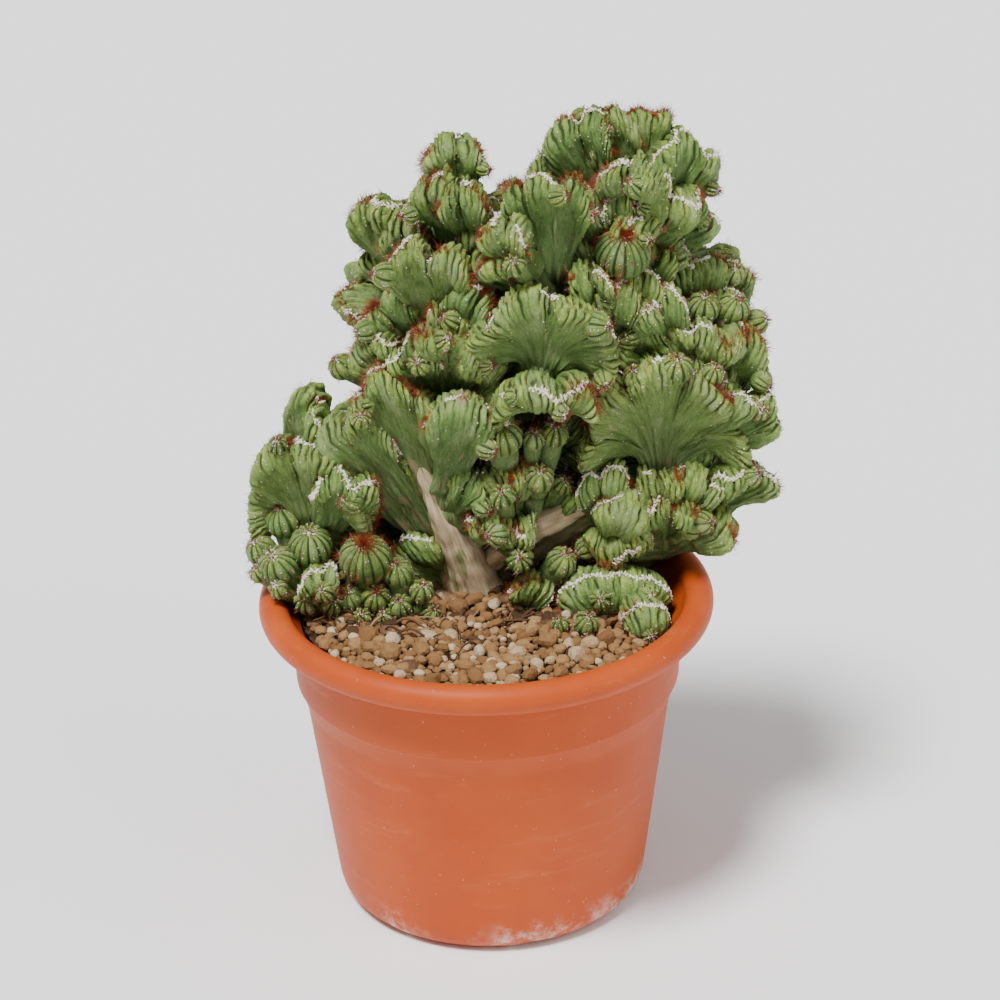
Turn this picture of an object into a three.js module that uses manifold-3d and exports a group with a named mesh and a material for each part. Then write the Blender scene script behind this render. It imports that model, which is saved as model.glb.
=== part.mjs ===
// Potted crested cactus: a round pot, soil, grit, a woody trunk and its crested branches.
// Units are millimetres, +Z is up, the pot stands on Z = 0 and its front faces -Y.
import * as THREE from 'three';
import { mergeVertices } from 'three/addons/utils/BufferGeometryUtils.js';
import Module from 'manifold-3d';

const wasm = await Module();
wasm.setup();

// ---- sizes ----------------------------------------------------------------
const GAP = 1.2; // clearance kept between neighbouring pieces
const SLIVER = 0.01; // edges shorter than this are dropped after the last cut
const SMOOTHING = 0.6; // small edges of a finished body may move by this much
const RIM_MAJOR = 93.5; // radius of the rolled rim's centre line
const RIM_BEAD = 6.5; // radius of the rolled rim itself
const POT_HEIGHT = 148;
const POT_WALL = 4;
const COLLAR_Z = 108; // the straight collar starts here
const COLLAR_R = 85;
const WAIST_Z = 98; // the sloping wall ends here and steps out to the collar
const WAIST_R = 81;
const FOOT_R = 69.5;
const FLOOR_THICK = 6;
const DRAIN_R = 5;
const DRAIN_RING = 40;
const DRAIN_COUNT = 6;
const NOTCH_COUNT = 6;
const SOIL_TOP = 131;
const GRIT_TOP = 137;

// ---- colours --------------------------------------------------------------
const GREEN = { color: 0x5f8a3c, roughness: 0.55 };
const CORK = { color: 0x9c8560, roughness: 0.85 };
const TERRACOTTA = { color: 0xc4643c, roughness: 0.6 };
const SOIL = { color: 0x3d2c20, roughness: 0.95 };
const GRIT = { color: 0xab8763, roughness: 0.9 };

// ---- solids ---------------------------------------------------------------
// Turns a three.js geometry into a manifold solid.
function solid(geometry) {
  const plain = geometry.clone();
  plain.deleteAttribute('normal');
  plain.deleteAttribute('uv');
  const merged = mergeVertices(plain, 1e-4);
  return new wasm.Manifold(new wasm.Mesh({
    numProp: 3,
    vertProperties: new Float32Array(merged.attributes.position.array),
    triVerts: new Uint32Array(merged.index.array),
  }));
}

// Joins a list of solids into one.
function union(solids) {
  return solids.reduce((all, next) => all.add(next));
}

// Drops the edges of a solid that are shorter or flatter than `size`.
function smoothed(body, size = SMOOTHING) {
  return body.asOriginal().simplify(size);
}

// Keeps the largest single body of a solid.
function largestBody(body) {
  const pieces = body.decompose();
  pieces.sort((a, b) => b.volume() - a.volume());
  return pieces[0];
}

// Turns a manifold solid into a named mesh.
function toMesh(name, body, finish) {
  const data = body.getMesh();
  const geometry = new THREE.BufferGeometry();
  const stride = data.numProp;
  const positions = [];
  for (let i = 0; i < data.vertProperties.length; i += stride) {
    positions.push(data.vertProperties[i]);
    positions.push(data.vertProperties[i + 1]);
    positions.push(data.vertProperties[i + 2]);
  }
  geometry.setAttribute('position', new THREE.Float32BufferAttribute(positions, 3));
  geometry.setIndex(Array.from(data.triVerts));
  geometry.computeVertexNormals();
  const material = new THREE.MeshStandardMaterial({ ...finish, metalness: 0 });
  const mesh = new THREE.Mesh(geometry, material);
  mesh.name = name;
  return mesh;
}

// A solid of revolution around Z from [radius, z] pairs that start and end on the axis.
function lathe(profile, segments) {
  const points = profile.map(([r, z]) => new THREE.Vector2(r, z));
  const geometry = new THREE.LatheGeometry(points, segments);
  geometry.rotateX(Math.PI / 2);
  return solid(geometry);
}

// A round bar between two points with ball ends of its own radii.
function limb(from, to, r0, r1, segments = 6, steps = 1) {
  const a = new THREE.Vector3(...from);
  const b = new THREE.Vector3(...to);
  const length = Math.max(a.distanceTo(b), 0.01);
  const points = [];
  for (let i = 0; i <= steps; i += 1) {
    const t = (-Math.PI / 2) * (1 - i / steps);
    points.push(new THREE.Vector2(r0 * Math.cos(t), r0 * Math.sin(t)));
  }
  for (let i = 0; i <= steps; i += 1) {
    const t = (Math.PI / 2) * (i / steps);
    points.push(new THREE.Vector2(r1 * Math.cos(t), length + r1 * Math.sin(t)));
  }
  points[0].x = 0;
  points[points.length - 1].x = 0;
  const geometry = new THREE.LatheGeometry(points, segments);
  const up = new THREE.Vector3(0, 1, 0);
  const turn = new THREE.Quaternion().setFromUnitVectors(up, b.clone().sub(a).normalize());
  geometry.applyQuaternion(turn);
  geometry.translate(a.x, a.y, a.z);
  return solid(geometry);
}

// A globular knob.
function ball(center, radius) {
  const columns = radius < 8 ? 6 : 8;
  const rows = radius < 8 ? 4 : 5;
  const geometry = new THREE.SphereGeometry(radius, columns, rows);
  geometry.rotateX(Math.PI / 2);
  geometry.translate(...center);
  return solid(geometry);
}

// ---- crest lobes ----------------------------------------------------------
// One crest is a flattened fan. It grows from a neck near its root, spreads out to a thick
// rounded rim, and the rim is pinched into lobes. `tip` is the middle of the rim, `length` runs
// back towards `from`, `width` is side to side, `rim` is half the thickness of the rim, and
// `face` turns the flat side (0 looks along -Y, positive turns towards +X).
function crestFrame(lobe) {
  const tip = new THREE.Vector3(...lobe.tip);
  const from = new THREE.Vector3(...lobe.from);
  const up = tip.clone().sub(from).normalize();
  const root = tip.clone().addScaledVector(up, -lobe.length);
  const azimuth = THREE.MathUtils.degToRad(lobe.face);
  const tilt = THREE.MathUtils.degToRad(20);
  const normal = new THREE.Vector3(
    Math.sin(azimuth) * Math.cos(tilt),
    -Math.cos(azimuth) * Math.cos(tilt),
    Math.sin(tilt),
  );
  normal.addScaledVector(up, -normal.dot(up)).normalize();
  const side = new THREE.Vector3().crossVectors(up, normal);
  return { root, up, normal, side };
}

// Fills in the shape numbers that follow from a lobe's size.
function crestShape(lobe) {
  const half = lobe.width / 2;
  const natural = THREE.MathUtils.radToDeg(Math.asin(Math.min(1, half / lobe.length))) * 1.2;
  const spreadDeg = lobe.spread ?? Math.min(85, Math.max(32, natural));
  const spread = THREE.MathUtils.degToRad(spreadDeg);
  const reach = lobe.length * 0.9 * Math.sin(Math.min(spread, Math.PI / 2));
  return {
    spread,
    wide: Math.max(0.5, half / reach),
    neck: lobe.neck ?? Math.min(half * 0.4, 9),
    neckThick: Math.min(5.5, lobe.rim * 0.7),
    middle: lobe.rim * 0.6,
    curl: lobe.curl ?? 0.08,
    meander: lobe.lobes > 1 ? lobe.rim * 0.4 : 0.5,
    phase: lobe.tip[0] * 0.9 + lobe.tip[2] * 0.7,
  };
}

// Rims with many lobes are kept at this even height.
const MEAN_PINCH = 0.85;

// How deep the rim is pinched at u, from 0 in a notch to 1 on top of a lobe.
function pinch(u, lobes, phase) {
  const uneven = u + (0.2 * Math.sin(2.3 * u + 1.7 * phase)) / Math.max(lobes, 1);
  const x = Math.min(Math.max(((uneven + 1) / 2) * lobes, 0), lobes);
  return Math.sqrt(Math.abs(Math.sin(Math.PI * x)));
}

function crest(lobe, grow = 0) {
  const { root, up, normal, side } = crestFrame(lobe);
  const shape = crestShape(lobe);
  const columns = Math.round(3.4 + lobe.width / 12);
  const rimRows = [0, 50, 100].map(THREE.MathUtils.degToRad);
  const faceRows = [0.5, 1];
  const half = rimRows.length + faceRows.length;
  const rows = 2 * half - 1;

  // A point of the surface; rho runs 0..1 from root to rim, tau is the offset off the mid plane.
  const place = (u, rho, tau, length) => {
    const r = Math.max(rho, 0);
    const phi = (shape.spread + grow / length) * u * r ** 0.45;
    const neck = (shape.neck + grow) * u * (1 - r);
    const x = rho * length * Math.sin(phi) * shape.wide + neck;
    const y = rho * length * Math.cos(phi);
    const wave = shape.meander * Math.sin(Math.PI * lobe.lobes * 0.5 * (u + 1) + shape.phase);
    const lean = (shape.curl + 0.1 * Math.sin(phi) ** 2) * lobe.length * r * r;
    return root.clone()
      .addScaledVector(up, y)
      .addScaledVector(side, x)
      .addScaledVector(normal, tau + lean + wave * r ** 3);
  };

  // The profile through one column: radial fraction and half thickness, crest line first.
  const profile = (u) => {
    const lam = lobe.lobes < 3 ? pinch(u, lobe.lobes, shape.phase) : MEAN_PINCH;
    const droop = 1 - 0.22 * Math.abs(u) ** 2.5;
    const length = lobe.length * droop * (0.91 + 0.09 * lam) + grow;
    const thick = lobe.rim * (0.55 + 0.45 * lam) + grow;
    const closing = Math.sqrt(Math.max(1 - Math.abs(u) ** 7, 0));
    const points = rimRows.map((a) => [
      (length - thick + thick * Math.cos(a)) / length,
      thick * Math.sin(a) * closing,
    ]);
    const [r0, t0] = points[points.length - 1];
    const last = t0 / Math.max(closing, 1e-6);
    faceRows.forEach((t) => {
      const rho = r0 * (1 - t) - (0.06 + grow / length) * t;
      const tau = last * (1 - t) ** 2
        + (shape.middle + grow) * 2 * t * (1 - t)
        + (shape.neckThick + grow) * t ** 2;
      points.push([rho, tau * closing]);
    });
    return { points, length };
  };

  const positions = [];
  for (let c = 0; c < columns; c += 1) {
    const u = -1 + (2 * c) / (columns - 1);
    const { points, length } = profile(u);
    for (let r = 0; r < rows; r += 1) {
      const k = Math.abs(r - (half - 1));
      const sign = r < half - 1 ? -1 : 1;
      const [rho, tau] = points[k];
      positions.push(...place(u, rho, sign * tau, length).toArray());
    }
  }
  // Rows run around the section; the first and last columns are pinched shut on themselves.
  const at = (c, r) => {
    const pinched = c === 0 || c === columns - 1;
    const row = pinched && r > half - 1 ? rows - 1 - r : r;
    return c * rows + row;
  };
  const index = [];
  const addTriangle = (a, b, c) => {
    if (a !== b && b !== c && c !== a) {
      index.push(a, b, c);
    }
  };
  for (let c = 0; c < columns - 1; c += 1) {
    for (let r = 0; r < rows; r += 1) {
      const next = (r + 1) % rows;
      addTriangle(at(c, r), at(c + 1, next), at(c + 1, r));
      addTriangle(at(c, r), at(c, next), at(c + 1, next));
    }
  }
  const geometry = new THREE.BufferGeometry();
  geometry.setAttribute('position', new THREE.Float32BufferAttribute(positions, 3));
  geometry.setIndex(index);
  return solid(geometry);
}

// ---- branches -------------------------------------------------------------
// Short form for one crest: tip, length, width, half rim thickness, lobe count, facing.
function lobe(tip, length, width, rim, lobes, face, extra = {}) {
  return { tip, length, width, rim, lobes, face, ...extra };
}

// Short form for one globular knob; `stalk` is how far its stalk runs back to the hub.
function knob(center, radius, stalk = 14) {
  return { center, radius, stalk };
}

// Every branch has a hub that its lobes fan out from, and a limb of the trunk that feeds the hub.
const BRANCHES = [
  {
    name: 'crest_star', hub: [26, 4, 252], limb: [4, 37, 222],
    lobes: [
      lobe([28, -6, 291], 42, 68, 8, 6, 0, { spread: 110 }),
      lobe([26, -20, 253], 30, 56, 7.5, 5, 0, { spread: 80, curl: 0.1, from: [26, 6, 232] }),
    ],
  },
  {
    name: 'crest_right_fan', hub: [77, 20, 190], limb: [-2, 34, 172],
    lobes: [
      lobe([78, 4, 255], 60, 80, 8, 8, 5, { spread: 96, curl: 0.08 }),
      lobe([124, 14, 231], 50, 38, 8.5, 5, 40, { curl: 0.15 }),
      lobe([107, 16, 243], 44, 36, 8, 4, 25),
    ],
    knobs: [knob([65, 0, 246], 5, 0), knob([99, 3, 245], 5, 0), knob([83, 0, 249], 7, 0),
      knob([54, 2, 242], 7, 6), knob([113, 10, 223], 4.5, 6)],
  },
  {
    name: 'crest_big_left', hub: [-8, 22, 134], limb: [-6, 33, 140],
    lobes: [
      lobe([-46, 6, 253], 108, 58, 9.5, 5, -12, { spread: 38, neck: 12, curl: 0.05 }),
      lobe([-62, 10, 232], 92, 36, 10, 2, -30, { spread: 30, neck: 8 }),
      lobe([-7, -6, 244], 50, 38, 11, 1, 5, { from: [-18, 8, 180] }),
      lobe([-2, -3, 204], 22, 28, 9, 2, 15, { from: [-14, 6, 184] }),
      lobe([-38, 10, 166], 36, 32, 8.5, 3, -20),
    ],
  },
  {
    name: 'crest_upper_middle', hub: [30, 24, 270], limb: [8, 40, 248],
    lobes: [
      lobe([29, 14, 339], 64, 48, 7.5, 5, -5),
      lobe([8, 0, 321], 36, 30, 8.5, 3, -30),
      lobe([0, 5, 302], 28, 26, 8, 2, -40),
      lobe([42, 30, 322], 52, 34, 7.5, 3, 30),
    ],
    knobs: [knob([15, -6, 300], 5)],
  },
  {
    name: 'crest_left_upper', hub: [-14, 24, 238], limb: [2, 37, 212],
    lobes: [
      lobe([-21, 10, 315], 64, 46, 9, 4, -12, { curl: 0.15 }),
      lobe([-43, 22, 279], 36, 34, 9, 3, -35),
      lobe([0, 2, 289], 36, 28, 8.5, 2, -10),
      lobe([-12, 5, 280], 34, 28, 8, 2, 0),
    ],
    knobs: [knob([-42, 22, 266], 8)],
  },
  {
    name: 'crest_left_middle', hub: [-15, 26, 214], limb: [0, 36, 190],
    lobes: [
      lobe([-33, 6, 265], 34, 34, 9, 3, -15, { curl: 0.15 }),
      lobe([-51, 16, 264], 40, 30, 8.5, 3, -35),
      lobe([-13, 2, 273], 40, 36, 9, 4, -5, { curl: 0.15 }),
      lobe([5, 0, 262], 36, 30, 9, 2, 5),
      lobe([13, -4, 237], 28, 28, 8.5, 3, 0),
    ],
    knobs: [knob([-60, 19, 245], 6, 30)],
  },
  {
    name: 'crest_left_low', hub: [-72, 16, 160], limb: [-6, 33, 140],
    lobes: [
      lobe([-80, 4, 221], 56, 60, 8, 7, -15, { spread: 88, curl: 0.05 }),
      lobe([-56, -6, 208], 34, 40, 8.5, 4, 15),
      lobe([-68, 24, 218], 54, 58, 8, 6, -5, { spread: 80 }),
      lobe([-71, 14, 238], 62, 22, 8.5, 2, -40, { spread: 30 }),
    ],
  },
  {
    name: 'crest_top_right', hub: [64, 46, 280], limb: [12, 42, 268],
    lobes: [
      lobe([40, 40, 353], 54, 36, 11, 2, -20),
      lobe([55, 44, 354], 56, 28, 10, 2, 5),
      lobe([69, 22, 341], 48, 38, 10, 4, -10, { curl: 0.2 }),
      lobe([68, 12, 316], 28, 26, 8.5, 2, -5),
      lobe([85, 20, 325], 40, 40, 11.5, 3, 25),
      lobe([93, 46, 338], 56, 42, 10, 4, 30),
      lobe([101, 40, 313], 46, 34, 9.5, 3, 45),
      lobe([53, 20, 324], 40, 32, 9.5, 3, -10),
      lobe([91, 36, 298], 30, 32, 9.5, 3, 30),
      lobe([74, 58, 348], 46, 32, 9.5, 3, 10),
      lobe([29, 42, 326], 50, 30, 7.5, 3, -40),
    ],
  },
  {
    name: 'crest_top_left', hub: [0, 42, 272], limb: [8, 41, 252],
    lobes: [
      lobe([-12, 32, 347], 36, 36, 9.5, 3, -5),
      lobe([-21, 18, 333], 36, 24, 9, 2, -30),
      lobe([-6, 16, 331], 38, 29, 9.5, 3, -10),
      lobe([9, 36, 315], 34, 26, 9, 2, 20),
      lobe([0, 20, 310], 28, 24, 8.5, 2, 0),
    ],
  },
  {
    name: 'crest_left_back', hub: [-22, 46, 256], limb: [4, 38, 226],
    lobes: [
      lobe([-44, 40, 316], 48, 36, 9, 4, -35),
      lobe([-16, 40, 312], 34, 30, 9, 2, -10),
      lobe([-32, 28, 313], 42, 26, 9, 2, -20),
      lobe([-42, 46, 296], 40, 36, 8.5, 3, -45),
      lobe([-36, 66, 306], 44, 38, 9, 4, -130),
    ],
  },
  {
    name: 'crest_right_upper', hub: [90, 32, 228], limb: [4, 38, 224],
    lobes: [
      lobe([73, 10, 280], 40, 34, 9.5, 3, -10, { curl: 0.1 }),
      lobe([89, 12, 269], 34, 26, 9, 2, 0),
      lobe([101, 12, 262], 28, 24, 9, 1, 10),
      lobe([119, 18, 260], 42, 34, 9.5, 3, 40),
      lobe([107, 40, 272], 46, 46, 8.5, 5, 20, { curl: 0.15 }),
      lobe([60, 14, 263], 42, 32, 8.5, 3, -20),
      lobe([72, 8, 257], 26, 26, 8.5, 2, 0),
    ],
    knobs: [knob([96, 22, 268], 7), knob([109, 27, 265], 7.5)],
  },
  {
    name: 'crest_right_knobs', hub: [92, 50, 244], limb: [8, 40, 244],
    lobes: [
      lobe([87, 36, 285], 30, 24, 9.5, 1, 0),
      lobe([100, 42, 286], 32, 24, 9.5, 1, 15),
      lobe([116, 56, 277], 36, 32, 8.5, 3, 45),
      lobe([104, 68, 282], 40, 36, 8.5, 4, 130),
    ],
    knobs: [knob([110, 42, 275], 5)],
  },
  {
    name: 'crest_middle_right', hub: [57, 28, 248], limb: [6, 38, 232],
    lobes: [
      lobe([45, 4, 295], 32, 26, 9, 2, -5),
      lobe([58, 6, 286], 30, 30, 9, 2, 0),
      lobe([69, 14, 291], 36, 28, 9, 2, 20),
      lobe([76, 32, 297], 42, 32, 8.5, 3, 10),
      lobe([48, 26, 303], 34, 30, 8.5, 2, 0),
    ],
    knobs: [knob([61, 14, 297], 11.5)],
  },
  {
    name: 'crest_lower_right', hub: [79, 24, 154], limb: [49, 10, 172],
    lobes: [
      lobe([51, 2, 204], 40, 32, 9.5, 2, -10, { from: [56, 16, 158] }),
      lobe([63, -6, 192], 26, 32, 11.5, 1, 5, { from: [54, 8, 162] }),
      lobe([80, 0, 192], 30, 36, 9, 4, 0, { curl: 0.2 }),
      lobe([106, 2, 182], 36, 34, 11.5, 2, 25),
      lobe([118, 14, 205], 46, 34, 9, 4, 35, { curl: 0.2, from: [95, 22, 166] }),
      lobe([98, 6, 200], 36, 32, 9, 3, 5),
      lobe([75, 4, 202], 38, 28, 9, 3, 0),
      lobe([99, 24, 209], 38, 32, 9, 3, 15),
      lobe([59, -12, 163], 24, 38, 8.5, 4, -5, { from: [58, 8, 172] }),
    ],
  },
  {
    name: 'crest_centre', hub: [15, 20, 150], limb: [-5, 33, 148],
    lobes: [
      lobe([9, -4, 208], 26, 30, 8.5, 3, 0),
      lobe([-1, -8, 188], 24, 24, 8.5, 2, -20),
      lobe([13, -12, 184], 24, 28, 8.5, 3, 0),
      lobe([33, 12, 197], 36, 36, 8.5, 4, 10),
    ],
    knobs: [knob([8, -3, 220], 9, 20), knob([22, -1, 218], 5, 24), knob([31, 1, 219], 6, 24),
      knob([8, -14, 197], 5.5), knob([24, -3, 200], 6.5, 24), knob([15, -12, 166], 6)],
  },
  {
    name: 'crest_centre_back', hub: [36, 38, 198], limb: [-1, 35, 180],
    lobes: [
      lobe([34, 22, 223], 30, 36, 8.5, 4, 0),
      lobe([50, 17, 216], 32, 34, 8.5, 4, 10),
      lobe([20, 25, 215], 30, 32, 8.5, 3, -10),
      lobe([50, 22, 196], 28, 34, 8.5, 4, 10),
      lobe([28, 22, 192], 26, 32, 8.5, 3, 0),
      lobe([15, 34, 236], 34, 36, 9, 3, -10),
      lobe([64, 26, 209], 30, 34, 8.5, 3, 10),
    ],
  },
  {
    name: 'crest_upper_back', hub: [32, 62, 280], limb: [13, 42, 274],
    lobes: [
      lobe([20, 60, 318], 42, 38, 9, 4, -20),
      lobe([38, 66, 328], 44, 38, 9, 4, 0),
      lobe([17, 42, 301], 34, 32, 8.5, 3, -10),
      lobe([52, 74, 318], 42, 40, 9, 4, 150),
      lobe([4, 66, 306], 40, 36, 9, 4, -160),
    ],
  },
];

// Branches and offsets that stand in the soil on their own roots.
const ROOTED = [
  {
    name: 'crest_front_base', hub: [56, 6, 122],
    lobes: [lobe([55, -10, 158], 28, 62, 12, 1, 0, { spread: 60 })],
  },
  {
    name: 'offset_front', hub: [66, -16, 128],
    lobes: [lobe([69, -26, 151], 21, 26, 11.5, 1, 15)],
  },
  {
    name: 'crest_centre_low', hub: [10, 6, 128],
    lobes: [lobe([25, -10, 157], 30, 26, 8.5, 2, 10)],
    knobs: [knob([33, -4, 160], 7, 20)],
  },
  {
    name: 'offsets_left', hub: [-74, 4, 136],
    lobes: [lobe([-72, -14, 165], 20, 22, 9, 2, 0, { curl: 0.1, from: [-72, -8, 140] })],
    knobs: [knob([-98, 5, 164], 7, 40), knob([-90, -7, 163], 8.6, 40), knob([-76, -1, 169], 9.6, 30),
      knob([-99, -5, 158], 4.2, 40), knob([-90, -14, 155], 4.5, 24), knob([-61, 5, 152], 6, 14), knob([-88, 8, 177], 8, 30)],
  },
  {
    name: 'offset_red', hub: [-50, 0, 130],
    knobs: [knob([-52, -9, 166], 11.3, 24)],
  },
  {
    name: 'offset_front_left', hub: [-34, -6, 130],
    knobs: [knob([-38, -10, 159], 6.8, 24), knob([-28, -14, 152], 5.5, 20)],
  },
  {
    name: 'offsets_grit', hub: [36, -26, 128],
    knobs: [knob([32, -30, 143], 4, 8), knob([43, -31, 144], 5.4, 10)],
  },
];

// The far side: rings of crests around the trunk, each ring one branch.
const RING_CENTER = [12, 36];
const RINGS = [
  { name: 'crest_back_low', z: 178, across: 78, deep: 56, count: 4, first: 96, last: 262 },
  { name: 'crest_back_middle', z: 228, across: 74, deep: 54, count: 4, first: 102, last: 258 },
  { name: 'crest_back_upper', z: 276, across: 62, deep: 46, count: 4, first: 110, last: 250 },
];

function ringBranch(ring, order) {
  const [cx, cy] = RING_CENTER;
  const lobes = [];
  for (let i = 0; i < ring.count; i += 1) {
    const face = ring.first + ((ring.last - ring.first) * i) / (ring.count - 1);
    const a = THREE.MathUtils.degToRad(face);
    const wobble = Math.sin(7 * i + 3 * order);
    const at = (share, z) => [
      Math.round(cx + share * ring.across * Math.sin(a)),
      Math.round(cy - share * ring.deep * Math.cos(a)),
      Math.round(z),
    ];
    const tip = at(1, ring.z + 9 * wobble);
    const from = at(0.6, ring.z - 48);
    const width = 62 + 5 * wobble;
    lobes.push(lobe(tip, 54 + 4 * wobble, width, 9.5, 5 + (i % 3), face, { from, curl: 0.1 }));
    if (i % 2 === 1) {
      const upper = at(0.74, ring.z + 18 - 6 * wobble);
      const inner = at(0.45, ring.z - 26);
      lobes.push(lobe(upper, 38, 38, 9, 3, face + 12, { from: inner }));
    }
  }
  return {
    name: ring.name,
    hub: [cx, cy + 14, ring.z - 48],
    limb: [4, 38, ring.z - 52],
    lobes,
  };
}

// The solid of one branch; `grow` fattens it so that neighbours can be cut back from it.
function branchSolid(branch, grow = 0) {
  const parts = [ball(branch.hub, 9 + grow)];
  (branch.lobes ?? []).forEach((item) => {
    const from = item.from ?? branch.hub;
    const full = { ...item, from };
    parts.push(crest(full, grow));
    const { root } = crestFrame(full);
    const thick = 5 + grow;
    if (root.distanceTo(new THREE.Vector3(...from)) > 7) {
      parts.push(limb(from, root.toArray(), thick, thick));
    }
    if (item.from) {
      parts.push(limb(branch.hub, from, thick, thick));
    }
  });
  (branch.knobs ?? []).forEach((item) => {
    parts.push(ball(item.center, item.radius + grow));
    if (item.stalk > 0) {
      const center = new THREE.Vector3(...item.center);
      const back = new THREE.Vector3(...branch.hub).sub(center);
      const reach = Math.min(item.stalk, back.length());
      const end = center.clone().addScaledVector(back.normalize(), reach);
      const thick = Math.min(item.radius * 0.7, 4) + grow;
      parts.push(limb(item.center, end.toArray(), thick, thick));
    }
  });
  return smoothed(union(parts));
}

// ---- trunk ----------------------------------------------------------------
const STEM = [
  { at: [-7, 31, 118], r: 15 },
  { at: [-5, 33, 150], r: 12 },
  { at: [1, 36, 205], r: 10 },
  { at: [9, 41, 255], r: 8 },
  { at: [14, 43, 285], r: 6 },
];
const ARM_START = [-2, 28, 138];
const ARM_END = [49, 10, 175];

function trunkSolid(branches, grow = 0) {
  const parts = [limb(ARM_START, ARM_END, 8 + grow, 5 + grow)];
  for (let i = 0; i + 1 < STEM.length; i += 1) {
    const [low, high] = [STEM[i], STEM[i + 1]];
    parts.push(limb(low.at, high.at, low.r + grow, high.r + grow, 10, 2));
  }
  branches.forEach((branch) => {
    parts.push(limb(branch.limb, branch.hub, 7 + grow, 5 + grow));
  });
  return union(parts);
}

// ---- pot, soil and grit ---------------------------------------------------
function potInnerRadius(z) {
  const slope = Math.min(z / WAIST_Z, 1);
  const step = Math.min(Math.max((z - WAIST_Z) / (COLLAR_Z - WAIST_Z), 0), 1);
  return FOOT_R + (WAIST_R - FOOT_R) * slope + (COLLAR_R - WAIST_R) * step - POT_WALL;
}

// The turned body of the pot; `grow` fattens it so that neighbours can be cut back from it.
function potBody(grow = 0) {
  const bead = [];
  const beadSteps = 7;
  for (let i = 0; i <= beadSteps; i += 1) {
    const a = THREE.MathUtils.degToRad(-100 + (280 * i) / beadSteps);
    const r = RIM_BEAD + grow;
    bead.push([RIM_MAJOR + r * Math.cos(a), POT_HEIGHT - RIM_BEAD + r * Math.sin(a)]);
  }
  const wall = potInnerRadius(POT_HEIGHT) - grow;
  return lathe([
    [0, 0],
    [FOOT_R - 12, 0],
    [FOOT_R - 6, 1.2],
    [FOOT_R - 2, 4.5],
    [FOOT_R + grow, 10],
    [WAIST_R + grow, WAIST_Z],
    [COLLAR_R - 0.8 + grow, COLLAR_Z - 3],
    [COLLAR_R + grow, COLLAR_Z],
    [COLLAR_R + 1.5 + grow, POT_HEIGHT - 2 * RIM_BEAD],
    ...bead,
    [wall + 1, POT_HEIGHT - 2 * RIM_BEAD],
    [wall, COLLAR_Z],
    [potInnerRadius(WAIST_Z) - grow, WAIST_Z],
    [potInnerRadius(FLOOR_THICK) - grow, FLOOR_THICK + grow],
    [0, FLOOR_THICK + grow],
  ], 40);
}

function potSolid() {
  const cuts = [];
  for (let i = 0; i < DRAIN_COUNT; i += 1) {
    const a = (2 * Math.PI * (i + 0.5)) / DRAIN_COUNT;
    const hole = new THREE.CylinderGeometry(DRAIN_R, DRAIN_R, 4 * FLOOR_THICK, 8);
    hole.rotateX(Math.PI / 2);
    hole.translate(DRAIN_RING * Math.cos(a), DRAIN_RING * Math.sin(a), 0);
    cuts.push(solid(hole));
  }
  for (let i = 0; i < NOTCH_COUNT; i += 1) {
    const notch = new THREE.CylinderGeometry(4, 4, 30, 8);
    notch.scale(2.2, 1, 1);
    notch.translate(0, FOOT_R, 0);
    notch.rotateZ(Math.PI + Math.PI / 12 + (2 * Math.PI * i) / NOTCH_COUNT);
    cuts.push(solid(notch));
  }
  return potBody().subtract(union(cuts));
}

function soilSolid() {
  const wall = potInnerRadius(POT_HEIGHT) - GAP / 2;
  return lathe([
    [0, FLOOR_THICK + GAP],
    [potInnerRadius(FLOOR_THICK) - 1, FLOOR_THICK + GAP],
    [potInnerRadius(WAIST_Z) - 1, WAIST_Z],
    [wall - 0.4, COLLAR_Z],
    [wall, SOIL_TOP],
    [0, SOIL_TOP],
  ], 20);
}

// The grit lies on the soil as a layer with a lumpy top.
function gritSolid() {
  const outer = potInnerRadius(POT_HEIGHT) - GAP / 2;
  const bottom = SOIL_TOP + GAP;
  const rings = 3;
  const points = [[0, bottom], [outer, bottom], [outer, GRIT_TOP - 1]];
  for (let i = 1; i < rings; i += 1) {
    const share = 1 - i / rings;
    points.push([outer * share, GRIT_TOP + (i % 2) * 0.8]);
  }
  points.push([0, GRIT_TOP]);
  const geometry = new THREE.LatheGeometry(points.map(([r, z]) => new THREE.Vector2(r, z)), 16);
  geometry.rotateX(Math.PI / 2);
  const position = geometry.attributes.position;
  for (let i = 0; i < position.count; i += 1) {
    const x = position.getX(i);
    const y = position.getY(i);
    if (position.getZ(i) > bottom + 2) {
      const lump = 0.7 * Math.sin(0.31 * x + 1) * Math.cos(0.27 * y) + 0.012 * Math.abs(y - x) * 0.5;
      position.setZ(i, position.getZ(i) + lump);
    }
  }
  return solid(geometry);
}

// ---- assembly -------------------------------------------------------------
const group = new THREE.Group();
group.name = 'potted_crested_cactus';

// Everything placed so far: its finished body and the fattened body that neighbours stay out of.
const placed = [];

function boxesTouch(a, b) {
  const p = a.boundingBox();
  const q = b.boundingBox();
  return [0, 1, 2].every((i) => p.min[i] < q.max[i] && q.min[i] < p.max[i]);
}

function cutAll(body, cutters) {
  return cutters
    .filter((cutter) => boxesTouch(body, cutter))
    .reduce((rest, cutter) => rest.subtract(cutter), body);
}

// Cuts a solid back from its neighbours, adds it as a mesh and claims its space.
function place(name, own, fat, finish) {
  const free = smoothed(largestBody(cutAll(own, placed.map((item) => item.fat))));
  const exact = largestBody(cutAll(free, placed.map((item) => item.body)));
  const body = largestBody(smoothed(exact, SLIVER));
  group.add(toMesh(name, body, finish));
  placed.push({ body, fat });
}

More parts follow.
